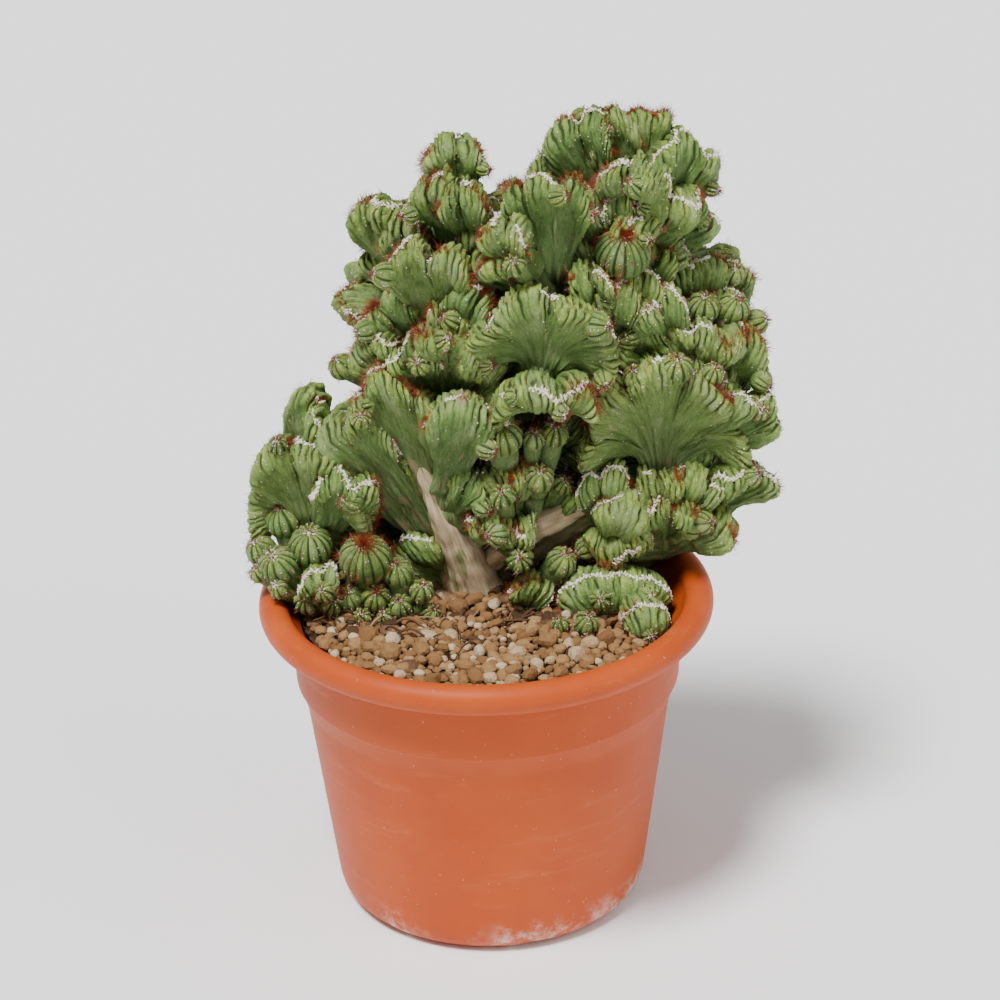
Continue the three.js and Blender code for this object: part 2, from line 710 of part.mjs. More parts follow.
place('pot', potSolid(), potBody(GAP), TERRACOTTA);
const grown = [...BRANCHES, ...RINGS.map(ringBranch)];
place('trunk', trunkSolid(grown), trunkSolid(grown, GAP), CORK);
[...ROOTED, ...grown].forEach((branch) => {
  place(branch.name, branchSolid(branch), branchSolid(branch, GAP), GREEN);
});
place('grit_top_dressing', gritSolid(), gritSolid(), GRIT);
place('potting_soil', soilSolid(), soilSolid(), SOIL);

export default group;
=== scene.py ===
"""Looks of the potted crested cactus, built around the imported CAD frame.

Shapes are worked out in millimetres with +Z up and the front facing -Y, the same numbers and
the same frame as the CAD, and are scaled to metres when a mesh is made.
"""
import math

import bmesh
import bpy
import numpy as np
from mathutils import Matrix, Vector


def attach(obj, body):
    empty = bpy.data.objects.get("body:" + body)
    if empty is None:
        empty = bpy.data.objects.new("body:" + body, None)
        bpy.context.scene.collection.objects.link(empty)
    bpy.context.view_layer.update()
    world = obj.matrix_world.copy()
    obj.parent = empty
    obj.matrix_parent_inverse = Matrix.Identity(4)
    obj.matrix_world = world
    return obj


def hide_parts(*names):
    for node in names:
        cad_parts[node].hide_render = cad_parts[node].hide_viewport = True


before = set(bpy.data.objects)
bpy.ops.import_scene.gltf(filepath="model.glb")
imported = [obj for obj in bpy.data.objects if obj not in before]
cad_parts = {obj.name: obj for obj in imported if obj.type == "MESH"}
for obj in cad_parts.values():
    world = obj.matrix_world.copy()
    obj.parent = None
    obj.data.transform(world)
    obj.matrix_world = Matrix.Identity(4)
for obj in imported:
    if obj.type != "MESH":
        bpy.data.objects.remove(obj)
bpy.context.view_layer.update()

MM = 0.001  # metres
TAU = 2 * math.pi

# ---- sizes in millimetres, the same as the CAD's -----------------------------------------
RIM_MAJOR = 93.5
RIM_BEAD = 6.5
POT_HEIGHT = 148.0
POT_WALL = 4.0
COLLAR_Z = 108.0
COLLAR_R = 85.0
WAIST_Z = 98.0
WAIST_R = 81.0
FOOT_R = 69.5
FLOOR_THICK = 6.0
DRAIN_R = 5.0
DRAIN_RING = 40.0
DRAIN_COUNT = 6
NOTCH_COUNT = 6
NOTCH_HIGH = 4.0
NOTCH_HALF = 8.8
NOTCH_DEEP = 15.0
GRIT_TOP = 137.0

# ---- sizes and counts of the detail --------------------------------------------------------
RIB_PITCH = 3.5  # distance between ribs along a crest
COLUMNS_PER_RIB = 8
RIM_ROWS = 9  # mesh rows from a crest line round the rim
FACE_ROWS = 14  # mesh rows from the rim down to the neck
RIM_TURN = 104  # degrees that the rim's section turns through
CREST_LEAN = 20  # degrees that a crest's face looks upwards
POT_SEGMENTS = 192
KNOB_ROWS = 24
MOST_STONES = 1500
STONE_TRIES = 42000
STONE_REACH = 80.5  # how far from the pot's axis the grit goes
ROOTS = 330
CHIPS = 260

# ---- camera --------------------------------------------------------------------------------
CAMERA_RISE = math.radians(25.4)  # above the horizon
CAMERA_ROLL = math.radians(-1.14)
CAMERA_AWAY = 1.4  # metres from the point that it looks at
CAMERA_AIM = (0.0069, 0, 0.1888)  # metres
LENS = 116.1
SENSOR = 36


# ---- mesh building -------------------------------------------------------------------------
class Soup:
    """Collects loose surfaces and their vertex attributes, then makes one mesh object."""

    def __init__(self):
        self.verts = []
        self.quads = []
        self.tris = []
        self.values = {}
        self.count = 0

    def add(self, verts, quads=None, tris=None, **values):
        """Adds a surface; each value is one number or vector, or one for each vertex."""
        verts = np.asarray(verts, float).reshape(-1, 3)
        n = len(verts)
        self.verts.append(verts)
        if quads is not None:
            self.quads.append(np.asarray(quads, int) + self.count)
        if tris is not None:
            self.tris.append(np.asarray(tris, int) + self.count)
        for key, value in values.items():
            value = np.asarray(value, float)
            wide = value.ndim > 0 and value.shape[-1] == 3 and value.size in (3, 3 * n)
            shape = (n, 3) if wide else (n,)
            spread = np.broadcast_to(value if value.size in (1, 3) else value.reshape(shape), shape)
            self.values.setdefault(key, []).append(spread)
        self.count += n

    def build(self, name, material, smooth=True):
        verts = np.concatenate(self.verts)
        quads = np.concatenate(self.quads) if self.quads else np.zeros((0, 4), int)
        tris = np.concatenate(self.tris) if self.tris else np.zeros((0, 3), int)
        loops = np.concatenate([quads.ravel(), tris.ravel()]).astype(np.int32)
        starts = np.concatenate([
            np.arange(len(quads)) * 4,
            len(quads) * 4 + np.arange(len(tris)) * 3,
        ]).astype(np.int32)
        mesh = bpy.data.meshes.new(name)
        mesh.vertices.add(len(verts))
        mesh.vertices.foreach_set("co", (verts * MM).astype(np.float32).ravel())
        mesh.loops.add(len(loops))
        mesh.loops.foreach_set("vertex_index", loops)
        mesh.polygons.add(len(starts))
        mesh.polygons.foreach_set("loop_start", starts)
        mesh.polygons.foreach_set("use_smooth", np.full(len(starts), smooth))
        mesh.update(calc_edges=True)
        for key, parts in self.values.items():
            data = np.concatenate(parts).astype(np.float32)
            if data.ndim == 2:
                layer = mesh.attributes.new(key, "FLOAT_VECTOR", "POINT")
                layer.data.foreach_set("vector", data.ravel())
            else:
                layer = mesh.attributes.new(key, "FLOAT", "POINT")
                layer.data.foreach_set("value", data)
        mesh.validate()
        mesh.materials.append(material)
        piece = bpy.data.objects.new(name, mesh)
        bpy.context.scene.collection.objects.link(piece)
        return piece


def smoothstep(low, high, x):
    """0 below low, 1 above high, with a smooth rise between."""
    t = np.clip((x - low) / (high - low), 0.0, 1.0)
    return t * t * (3.0 - 2.0 * t)


def lumps(points, wavelength, seed, waves=9):
    """Smooth uneven values in about -1..1, from waves that run every way through space."""
    rng = np.random.default_rng(seed)
    total = np.zeros(points.shape[:-1])
    for _ in range(waves):
        way = unit(rng.normal(size=3)) * TAU / (wavelength * rng.uniform(0.7, 1.5))
        total += np.sin(points @ way + rng.uniform(0, TAU))
    return total / math.sqrt(waves)


def circle(count):
    """Evenly spaced angles round a full turn."""
    return np.linspace(0, TAU, count, endpoint=False)


def unit(v):
    v = np.asarray(v, float)
    return v / np.maximum(np.linalg.norm(v, axis=-1, keepdims=True), 1e-9)


def side_axes(direction):
    """Two unit vectors square to a direction and to each other."""
    d = unit(direction)
    helper = np.where(np.abs(d[..., 2:3]) < 0.9, [0.0, 0.0, 1.0], [1.0, 0.0, 0.0])
    a = unit(np.cross(helper, d))
    return a, np.cross(d, a)


def rays(a, b, angle):
    """Directions in the plane of two axes, one for each angle."""
    return a * np.cos(angle)[:, None] + b * np.sin(angle)[:, None]


def spokes(path, sides):
    """Unit vectors out from every point of a path, all the way round it."""
    a, b = side_axes(unit(np.gradient(path, axis=0)))
    return rays(a[:, None], b[:, None], circle(sides))


def ring_faces(rows, sides):
    """Quads over rows of points that each close into a ring."""
    index = np.arange(rows * sides).reshape(rows, sides)
    right = np.roll(index, -1, axis=1)
    return np.stack([index[:-1], right[:-1], right[1:], index[1:]], -1).reshape(-1, 4)


def turned_over(quads):
    """The same quads, facing the other way."""
    return quads[:, [0, 3, 2, 1]]


def flowing(across, along, lane):
    """Texture places in millimetres: across the ribs, along them, and a lane for each body."""
    return np.stack([across, along, np.full_like(along, lane)], -1)


def tube(path, radii, sides, soup, **values):
    """A capped tube along a path, one radius for each point."""
    path = np.asarray(path, float)
    radii = np.asarray(radii, float)
    body = path[:, None] + spokes(path, sides) * radii[:, None, None]
    verts = np.concatenate([body.reshape(-1, 3), path[:1], path[-1:]])
    total = len(path) * sides
    first = np.arange(sides)
    last = first + total - sides
    low = np.stack([np.full(sides, total), np.roll(first, -1), first], -1)
    high = np.stack([np.full(sides, total + 1), last, np.roll(last, -1)], -1)
    caps = np.concatenate([low, high])
    soup.add(verts, quads=ring_faces(len(path), sides), tris=caps, **values)


# ---- crest lobes ---------------------------------------------------------------------------
def lobe(tip, length, width, rim, lobes, face, wool=0.5, red=0.25, **shape):
    """One crest: tip, length, width, half rim thickness, lobe count, facing, then its looks."""
    return dict(tip=tip, length=length, width=width, rim=rim, lobes=lobes, face=face,
                wool=wool, red=red, **shape)


def knob(center, radius, stalk=14, wool=0.6, red=0.2):
    """One globular knob and how far its stalk runs back to the hub."""
    return dict(center=center, radius=radius, stalk=stalk, wool=wool, red=red)


def crest_frame(item, start):
    """The root point of a crest, then its up, face and side directions."""
    tip = np.array(item["tip"], float)
    up = unit(tip - np.array(start, float))
    root = tip - up * item["length"]
    azimuth = math.radians(item["face"])
    tilt = math.radians(CREST_LEAN)
    normal = np.array([
        math.sin(azimuth) * math.cos(tilt),
        -math.cos(azimuth) * math.cos(tilt),
        math.sin(tilt),
    ])
    normal = unit(normal - up * normal.dot(up))
    return root, up, normal, np.cross(up, normal)


def crest_shape(item):
    """The numbers that a crest's outline needs, worked out from its size."""
    half = item["width"] / 2
    natural = math.degrees(math.asin(min(1.0, half / item["length"]))) * 1.2
    spread = math.radians(item.get("spread", min(85.0, max(32.0, natural))))
    reach = item["length"] * 0.9 * math.sin(min(spread, math.pi / 2))
    return dict(
        spread=spread,
        wide=max(0.5, half / reach),
        neck=item.get("neck", min(half * 0.4, 9.0)),
        neck_thick=min(5.5, item["rim"] * 0.7),
        middle=item["rim"] * 0.72,
        curl=item.get("curl", 0.08),
        meander=item["rim"] * 0.4 if item["lobes"] > 1 else 0.5,
        phase=item["tip"][0] * 0.9 + item["tip"][2] * 0.7,
    )


def crest_surface(item, start, rng):
    """One crest as a grid of points, with what the looks need at each of them."""
    root, up, normal, side = crest_frame(item, start)
    shape = crest_shape(item)
    lobes = item["lobes"]
    length = item["length"]
    pillows = lobes if lobes < 3 else max(2, round(0.6 * lobes))
    knots = np.arange(pillows + 2) - 0.5
    taller = 1 + rng.uniform(-0.07, 0.04, pillows + 2)
    fatter = 1 + rng.uniform(-0.08, 0.16, pillows + 2)

    def outline(u):
        uneven = u + 0.35 * np.sin(2.3 * u + 1.7 * shape["phase"]) / max(pillows, 1)
        x = np.clip((uneven + 1) / 2 * pillows, 0, pillows)
        lam = np.abs(np.sin(math.pi * x)) ** 0.4
        droop = 1 - 0.22 * np.abs(u) ** 2.5
        notch = min(9.0, 0.16 * length)
        reach = length * droop * np.interp(x, knots, taller) - notch * (1 - lam)
        thick = item["rim"] * (0.45 + 0.58 * lam) * np.interp(x, knots, fatter)
        closing = np.sqrt(np.clip(1 - np.abs(u) ** 7, 0, 1))
        return reach, thick, closing, lam

    def place(u, rho, tau, reach):
        r = np.clip(rho, 0, None)
        phi = shape["spread"] * u * r ** 0.45
        x = rho * reach * np.sin(phi) * shape["wide"] + shape["neck"] * u * (1 - r)
        y = rho * reach * np.cos(phi)
        wave = shape["meander"] * 1.3 * np.sin(math.pi * lobes * 0.5 * (u + 1) + shape["phase"])
        wave = wave + shape["meander"] * 0.5 * np.sin(5.1 * u * lobes ** 0.5 + 2.0 * shape["phase"])
        lean = (shape["curl"] + 0.1 * np.sin(phi) ** 2) * length * r * r
        off = tau + lean + wave * r ** 3
        return root + up * y[..., None] + side * x[..., None] + normal * off[..., None]

    # Columns are spread evenly along the rim.
    fine = np.linspace(-1, 1, 901)
    reach, thick, closing, _ = outline(fine)
    line = place(fine, np.full_like(fine, 0.92), np.zeros_like(fine), reach)
    run = np.r_[0, np.cumsum(np.linalg.norm(np.diff(line, axis=0), axis=1))]
    arc = run[-1]
    ribs = max(6, round(arc / RIB_PITCH))
    columns = ribs * COLUMNS_PER_RIB + 1
    share = np.linspace(0, 1, columns)
    u = np.interp(share * arc, run, fine)
    reach, thick, closing, lam = outline(u)

    rho, tau, half = crest_section(reach, thick, closing, shape)
    rows = len(rho)
    grid = place(np.broadcast_to(u, rho.shape), rho, tau, np.broadcast_to(reach, rho.shape))

    # Distance from the crest line along the surface, and the outward normal.
    steps = np.linalg.norm(np.diff(grid, axis=0), axis=-1)
    down = np.zeros(rho.shape)
    for r in range(half, rows):
        down[r] = down[r - 1] + steps[r - 1]
    for r in range(half - 2, -1, -1):
        down[r] = down[r + 1] + steps[r]
    out = unit(np.cross(np.gradient(grid, axis=0), np.gradient(grid, axis=1)))
    probe = half + RIM_ROWS + 1
    if out[probe, columns // 2].dot(normal) < 0:
        out = -out

    surface = dict(grid=grid, out=out, down=down, rho=rho, u=u, share=share, arc=arc, lam=lam,
                   half=half)
    add_relief(surface, ribs, shape, rng)
    surface["tone"] = rng.uniform(0, 1)
    return surface


def crest_section(reach, thick, closing, shape):
    """The section of a crest: distances out from the root and off the middle, row by row."""
    rho_rows = []
    tau_rows = []
    for angle in np.radians(np.linspace(0, RIM_TURN, RIM_ROWS + 1)):
        rho_rows.append((reach - thick + thick * math.cos(angle)) / reach)
        tau_rows.append(thick * math.sin(angle))
    rho_end, tau_end = rho_rows[-1], tau_rows[-1]
    for t in np.linspace(0, 1, FACE_ROWS + 1)[1:]:
        rho_rows.append(rho_end * (1 - t) - 0.06 * t)
        early, late = 3 * t * (1 - t) ** 2, 1.5 * t ** 2 * (1 - t)
        tau_rows.append(tau_end * (1 - t) ** 3 + shape["middle"] * (early + late)
                        + shape["neck_thick"] * (late + t ** 3))
    rho_half = np.array(rho_rows)
    tau_half = np.array(tau_rows) * closing
    half = len(rho_half)
    rho = np.concatenate([rho_half[::-1], rho_half[1:]])
    tau = np.concatenate([-tau_half[::-1], tau_half[1:]])
    return rho, tau, half


def add_relief(surface, ribs, shape, rng):
    """Cuts ribs and grooves into a plain crest and makes its skin uneven."""
    grid, out, down = surface["grid"], surface["out"], surface["down"]
    share, rho = surface["share"], surface["rho"]
    edge = 1 - np.abs(np.broadcast_to(surface["u"], rho.shape)) ** 16

    # Ribs: each groove has its own depth and its own length down the face.
    shift = rng.uniform(-0.32, 0.32, ribs + 2)
    theta = share * ribs + np.interp(share * ribs, np.arange(ribs + 2), shift)
    sway = 0.3 * np.sin(down * 0.21 + theta[None, :] * 0.6 + shape["phase"])
    sway = sway * smoothstep(5, 25, down)
    sway = sway + 0.12 * np.sin(down * 0.63 + theta[None, :] * 1.7)
    back = (np.arange(len(grid)) < surface["half"] - 1)[:, None]
    phase = theta[None, :] + np.where(back, 0.5, 0.0) + sway
    which = np.clip(np.round(phase).astype(int) + 2, 0, ribs + 5)
    groove_depth = rng.choice([0.45, 0.8, 1.25], ribs + 6, p=[0.3, 0.42, 0.28])
    groove_depth = groove_depth * rng.uniform(0.8, 1.15, ribs + 6)
    groove_end = 5 + 7 * groove_depth + 15 * rng.uniform(0, 1, ribs + 6) ** 3.5
    depth, end = groove_depth[which], groove_end[which]
    apart = np.abs(phase - np.round(phase)) * RIB_PITCH
    fade = (1 - smoothstep(0.35, 1.0, down / end)) * smoothstep(0.0, 1.6, down)
    fade = fade * edge * smoothstep(0.02, 0.3, rho)
    cut = np.exp(-((apart / (0.42 + 0.16 * depth)) ** 2)) * fade
    swell = np.cos(math.pi * (phase - np.round(phase))) ** 2
    near = (1 - smoothstep(8, 24, down)) * edge * smoothstep(0.0, 3.0, down)
    bumps = 0.2 * np.sin(down * 1.45 + which * 2.4) * near
    lift = (0.85 * (1 - swell) - 0.35) * near * (0.6 + 0.4 * depth) - 0.9 * depth * cut + bumps
    # The crest line itself is a groove, and the lower face is gently uneven.
    lift = lift - 0.9 * np.exp(-((down / 1.7) ** 2)) * edge
    soft = np.sin(grid[..., 0] * 0.21 + grid[..., 2] * 0.17 + shape["phase"])
    soft = soft * np.cos(grid[..., 2] * 0.26 - grid[..., 0] * 0.11)
    bend = 1.3 * np.sin(down * 0.09 + shape["phase"])
    creases = 0.40 * np.sin(theta[None, :] * 1.1 + bend)
    creases = creases + 0.34 * np.sin(theta[None, :] * 2.3 - bend) * lumps(grid, 14.0, 8)
    lift = lift + (0.6 * soft * smoothstep(10, 30, down) + creases * smoothstep(7, 18, down)) * edge
    uneven = 0.9 * lumps(grid, 24.0, 6) * smoothstep(6, 24, down) + 0.5 * lumps(grid, 8.0, 3)
    lift = lift + (uneven + 0.21 * lumps(grid, 3.0, 4)) * smoothstep(0, 6, down) * edge
    grid = grid + out * lift[..., None]
    # Painted shade in the rib grooves: dark marks run down each groove, fainter and further than
    # the cut goes, and the value below is 1 on the ridges and low where the groove shade is
    # painted.
    faint_groove_shade = np.exp(-((apart / 0.5) ** 2)) * (1 - smoothstep(0.5, 1.0, down / (end * 2.6))) * edge
    faint_groove_shade = faint_groove_shade * smoothstep(-0.6, 0.8, lumps(grid, 9.0, 5)) * smoothstep(3, 8, down)
    ridge = 1 - np.maximum(np.minimum(1.0, 1.1 * depth) * cut, 0.5 * faint_groove_shade)
    # Painted shade in the clefts between lobes, strongest near the rim.
    cleft = (1 - surface["lam"])[None, :] * (1 - smoothstep(6, 26, down)) * edge
    surface.update(grid=grid, theta=theta, apart=apart, ridge=ridge, cleft=cleft)


def add_crest(surface, soup):
    """Adds the closed skin of a crest: rows run round its section, end columns are pinched."""
    grid = surface["grid"]
    rows, columns = grid.shape[:2]
    index = np.arange(rows * columns).reshape(rows, columns).copy()
    for c in (0, columns - 1):
        for r in range(rows // 2 + 1, rows):
            index[r, c] = index[rows - 1 - r, c]
    below = np.roll(index, -1, axis=0)
    quads = np.stack([index[:, :-1], below[:, :-1], below[:, 1:], index[:, 1:]], -1).reshape(-1, 4)
    same = (quads == np.roll(quads, 1, axis=1)).any(axis=1)
    tris = [list(dict.fromkeys(q)) for q in quads[same].tolist()]
    tris = np.array([t for t in tris if len(t) == 3], int).reshape(-1, 3)
    along = np.broadcast_to(surface["theta"] * RIB_PITCH, surface["down"].shape)
    flow = flowing(along, surface["down"], 90 * surface["tone"])
    soup.add(
        grid.reshape(-1, 3), quads=quads[~same], tris=tris,
        ridge=surface["ridge"].ravel(),
        cleft=surface["cleft"].ravel(),
        down=surface["down"].ravel(),
        flow=flow.reshape(-1, 3),
        tone=surface["tone"],
    )


def knob_surface(item, hub, rng):
    """A globular knob with ribs that meet at a sunken woolly pole."""
    center = np.array(item["center"], float)
    radius = item["radius"]
    away = unit(center - np.array(hub, float))
    pole = item.get("pole", unit(away + np.array([0.0, -0.45, 0.55])))
    a, b = side_axes(pole)
    ribs = max(8, round(TAU * radius / RIB_PITCH * 0.8))
    columns = ribs * COLUMNS_PER_RIB
    polar = np.linspace(0, math.pi, KNOB_ROWS)[:, None]
    turn = circle(columns)[None, :]
    jitter = 0.2 * np.sin(turn * 3 + rng.uniform(0, 6))
    phase = turn / (TAU) * ribs + jitter
    which = np.round(phase).astype(int) % ribs
    depth = rng.uniform(0.6, 1.15, ribs)[which]
    strength = smoothstep(0.1, 0.6, polar) * (1 - smoothstep(1.6, 2.6, polar)) * np.ones_like(turn)
    swell = np.abs(np.sin(math.pi * phase)) ** 0.7
    cut = np.exp(-((np.abs(phase - np.round(phase)) * RIB_PITCH / 0.5) ** 2)) * depth
    # Painted shade in the grooves between the knob's ribs: 1 on the ridges, low in the grooves.
    ridge = 1 - cut * strength
    size = radius * (1.0 - 0.16 * np.exp(-((polar / 0.35) ** 2)))
    size = size + min(1.0, 0.08 * radius + 0.3) * (0.6 * swell - 0.4 - 0.7 * cut) * strength
    size = size * (1 + 0.03 * np.sin(2 * turn + radius) * np.sin(polar))
    out = (np.cos(polar)[..., None] * pole
           + np.sin(polar)[..., None] * (np.cos(turn)[..., None] * a + np.sin(turn)[..., None] * b))
    grid = center + out * size[..., None]
    apart = np.abs(phase - np.round(phase)) * RIB_PITCH * np.ones_like(polar)
    return dict(grid=grid, out=out, ridge=ridge, apart=apart, polar=polar * np.ones_like(turn),
                phase=phase, radius=radius, center=center, pole=pole, tone=rng.uniform(0, 1))


def pups(surface, item, rng):
    """Small round offsets that sit in front of a crest, mostly in the clefts between its lobes."""
    grid, out = surface["grid"], surface["out"]
    middle = surface["half"] - 1
    columns = grid.shape[1]
    # The cleft shade mask is highest in the clefts between lobes, so it also places the offsets
    # there.
    chance = 0.15 + surface["cleft"][middle + 2]
    chance[: columns // 12] = 0
    chance[-columns // 12:] = 0
    found = []
    for _ in range(int(item["width"] / 17 - rng.uniform(0, 1.3))):
        c = int(rng.choice(columns, p=chance / chance.sum()))
        row = middle + int(rng.integers(3, 8)) * (1 if rng.random() < 0.8 else -1)
        radius = rng.uniform(3.2, 5.6) * (1.15 if item["width"] > 50 else 1.0)
        center = grid[row, c] + out[row, c] * radius * 0.15
        gaps = [np.linalg.norm(center - o["center"]) - radius - o["radius"] for o in found]
        if all(gap > 0 for gap in gaps):
            found.append(dict(center=center, radius=radius, stalk=0, wool=0.7, red=0.15,
                              pole=unit(out[row, c] + 0.9 * out[middle, c] + [0, -0.2, 0.2])))
    return found


def add_knob(surface, soup):
    """Adds the skin of a knob, whose rows close into rings."""
    grid = surface["grid"]
    quads = turned_over(ring_faces(*grid.shape[:2]))
    along = surface["phase"] * RIB_PITCH * np.ones_like(surface["polar"])
    down = surface["polar"] * surface["radius"]
    flow = flowing(along, down, 90 * surface["tone"])
    soup.add(
        grid.reshape(-1, 3), quads=quads,
        ridge=surface["ridge"].ravel(),
        cleft=0.0,
        down=down.ravel(),
        flow=flow.reshape(-1, 3),
        tone=surface["tone"],
    )


# ---- wool, areoles and spines --------------------------------------------------------------
OCTA = np.array([[1, 0, 0], [-1, 0, 0], [0, 1, 0], [0, -1, 0], [0, 0, 1], [0, 0, -1]], float)
OCTA_TRIS = np.array([[0, 2, 4], [2, 1, 4], [1, 3, 4], [3, 0, 4],
                      [2, 0, 5], [1, 2, 5], [3, 1, 5], [0, 3, 5]])


def add_tufts(centers, axis_a, axis_b, axis_c, soup, tone):
    """Small rounded tufts; each axis is a vector as long as the tuft's half size that way."""
    n = len(centers)
    if n == 0:
        return
    basis = np.stack([axis_a, axis_b, axis_c], 1)
    verts = centers[:, None] + np.einsum("kj,njd->nkd", OCTA, basis)
    tris = OCTA_TRIS[None] + 6 * np.arange(n)[:, None, None]
    soup.add(verts.reshape(-1, 3), tris=tris.reshape(-1, 3), tone=np.repeat(tone, 6))


def add_spines(bases, directions, lengths, soup, tone, thick=0.15):
    """Thin three-sided needles."""
    n = len(bases)
    if n == 0:
        return
    a, b = side_axes(directions)
    corners = []
    for k in range(3):
        angle = TAU * k / 3
        corners.append(bases + thick * (a * math.cos(angle) + b * math.sin(angle)))
    tips = bases + directions * lengths[:, None]
    verts = np.stack(corners + [tips], 1)
    tris = np.array([[0, 1, 3], [1, 2, 3], [2, 0, 3], [0, 2, 1]])
    tris = tris[None] + 4 * np.arange(n)[:, None, None]
    soup.add(verts.reshape(-1, 3), tris=tris.reshape(-1, 3), tone=np.repeat(tone, 4))


def patchy(share, arc, amount, rng, patch=9.0):
    """Where along a crest line something grows: True on runs that add up to about `amount`."""
    if amount >= 0.98:
        return np.ones(len(share), bool)
    knots = max(3, int(arc / patch) + 2)
    field = np.interp(share, np.linspace(0, 1, knots), rng.uniform(0, 1, knots))
    return field > np.quantile(field, 1 - amount) if amount > 0 else np.zeros(len(share), bool)


def dress_crest(surface, item, wool, spines, rng):
    """Wool in the crest groove, areoles down the ribs, and red-brown spines."""
    grid, out, down = surface["grid"], surface["out"], surface["down"]
    columns = grid.shape[1]
    middle = surface["half"] - 1
    line = grid[middle]
    outward = out[middle]
    along = unit(np.gradient(line, axis=0))
    across = unit(np.cross(outward, along))
    inner = np.abs(surface["u"]) < 0.985
    share = np.linspace(0, 1, columns)
    arc = surface["arc"]

    # Wool: a ragged white seam along the groove, with some tufts running out between the ribs.
    amount = item["wool"] if item["wool"] > 0.98 else 0.55 * item["wool"]
    grows = patchy(share, arc, amount, rng, 12.0) & inner
    wooly = np.flatnonzero(grows)
    if len(wooly):
        count = int(len(wooly) / columns * arc * 6.5)
        pick = rng.choice(wooly, count)
        wander = 0.9 * np.sin(share[pick] * arc * 0.5 + surface["tone"] * 9)
        long = rng.random(count) < 0.14
        reach = np.where(long, rng.uniform(0.9, 1.9, count), rng.uniform(0.35, 0.8, count))
        aside = wander + np.where(long, rng.choice([-1.1, 1.1], count), rng.normal(0, 0.32, count))
        raised = rng.uniform(0.0, 0.8, count)[:, None]
        center = line[pick] + across[pick] * aside[:, None] + outward[pick] * raised
        turn = rng.normal(0, 0.5, (count, 3))
        axis_a = unit(across[pick] + 0.3 * turn) * reach[:, None]
        axis_b = unit(along[pick] + 0.3 * turn[:, ::-1]) * rng.uniform(0.4, 0.8, count)[:, None]
        axis_c = outward[pick] * rng.uniform(0.35, 0.7, count)[:, None]
        add_tufts(center, axis_a, axis_b, axis_c, wool, rng.uniform(0.35, 1, count))

    # Areoles: pale dots on the rib ridges.
    rows_ok = (down > 2.5) & (down < 20) & (surface["apart"] > 0.4 * RIB_PITCH)
    r, c = np.nonzero(rows_ok)
    keep = rng.random(len(r)) < 0.11 * (1.2 - down[r, c] / 20)
    r, c = r[keep], c[keep]
    if len(r):
        size = rng.uniform(0.2, 0.48, len(r))
        a, b = side_axes(out[r, c])
        add_tufts(grid[r, c] + out[r, c] * 0.12, a * size[:, None], b * size[:, None],
                  out[r, c] * 0.22, wool, rng.uniform(0.1, 0.8, len(r)))
        few = rng.random(len(r)) < 0.55
        base = grid[r, c][few]
        lean = unit(out[r, c][few] + rng.normal(0, 0.5, (few.sum(), 3)))
        lengths = rng.uniform(1.2, 3.6, few.sum())
        add_spines(base, lean, lengths, spines, rng.uniform(0.0, 0.6, few.sum()), 0.09)

    # Spines: dense where the crest is red, thin elsewhere.
    dense = np.flatnonzero(patchy(share, arc, item["red"], rng, 14.0) & inner)
    sparse = np.flatnonzero(inner)
    for pool, per_mm, longest, fresh in ((dense, 9.0, 5.2, 0.85), (sparse, 1.3, 4.6, 0.35)):
        if not len(pool):
            continue
        count = int(len(pool) / columns * arc * per_mm)
        pick = rng.choice(pool, count)
        aside = rng.normal(0, 1.5, count)
        sink = outward[pick] * (0.15 * aside ** 2)[:, None] * 0.3
        base = line[pick] + across[pick] * aside[:, None] - sink
        splay = across[pick] * (0.28 * aside)[:, None]
        lean = unit(outward[pick] + splay + rng.normal(0, 0.42, (count, 3)))
        tone = np.clip(rng.normal(fresh, 0.2, count), 0, 1)
        add_spines(base, lean, rng.uniform(1.6, longest, count), spines, tone)


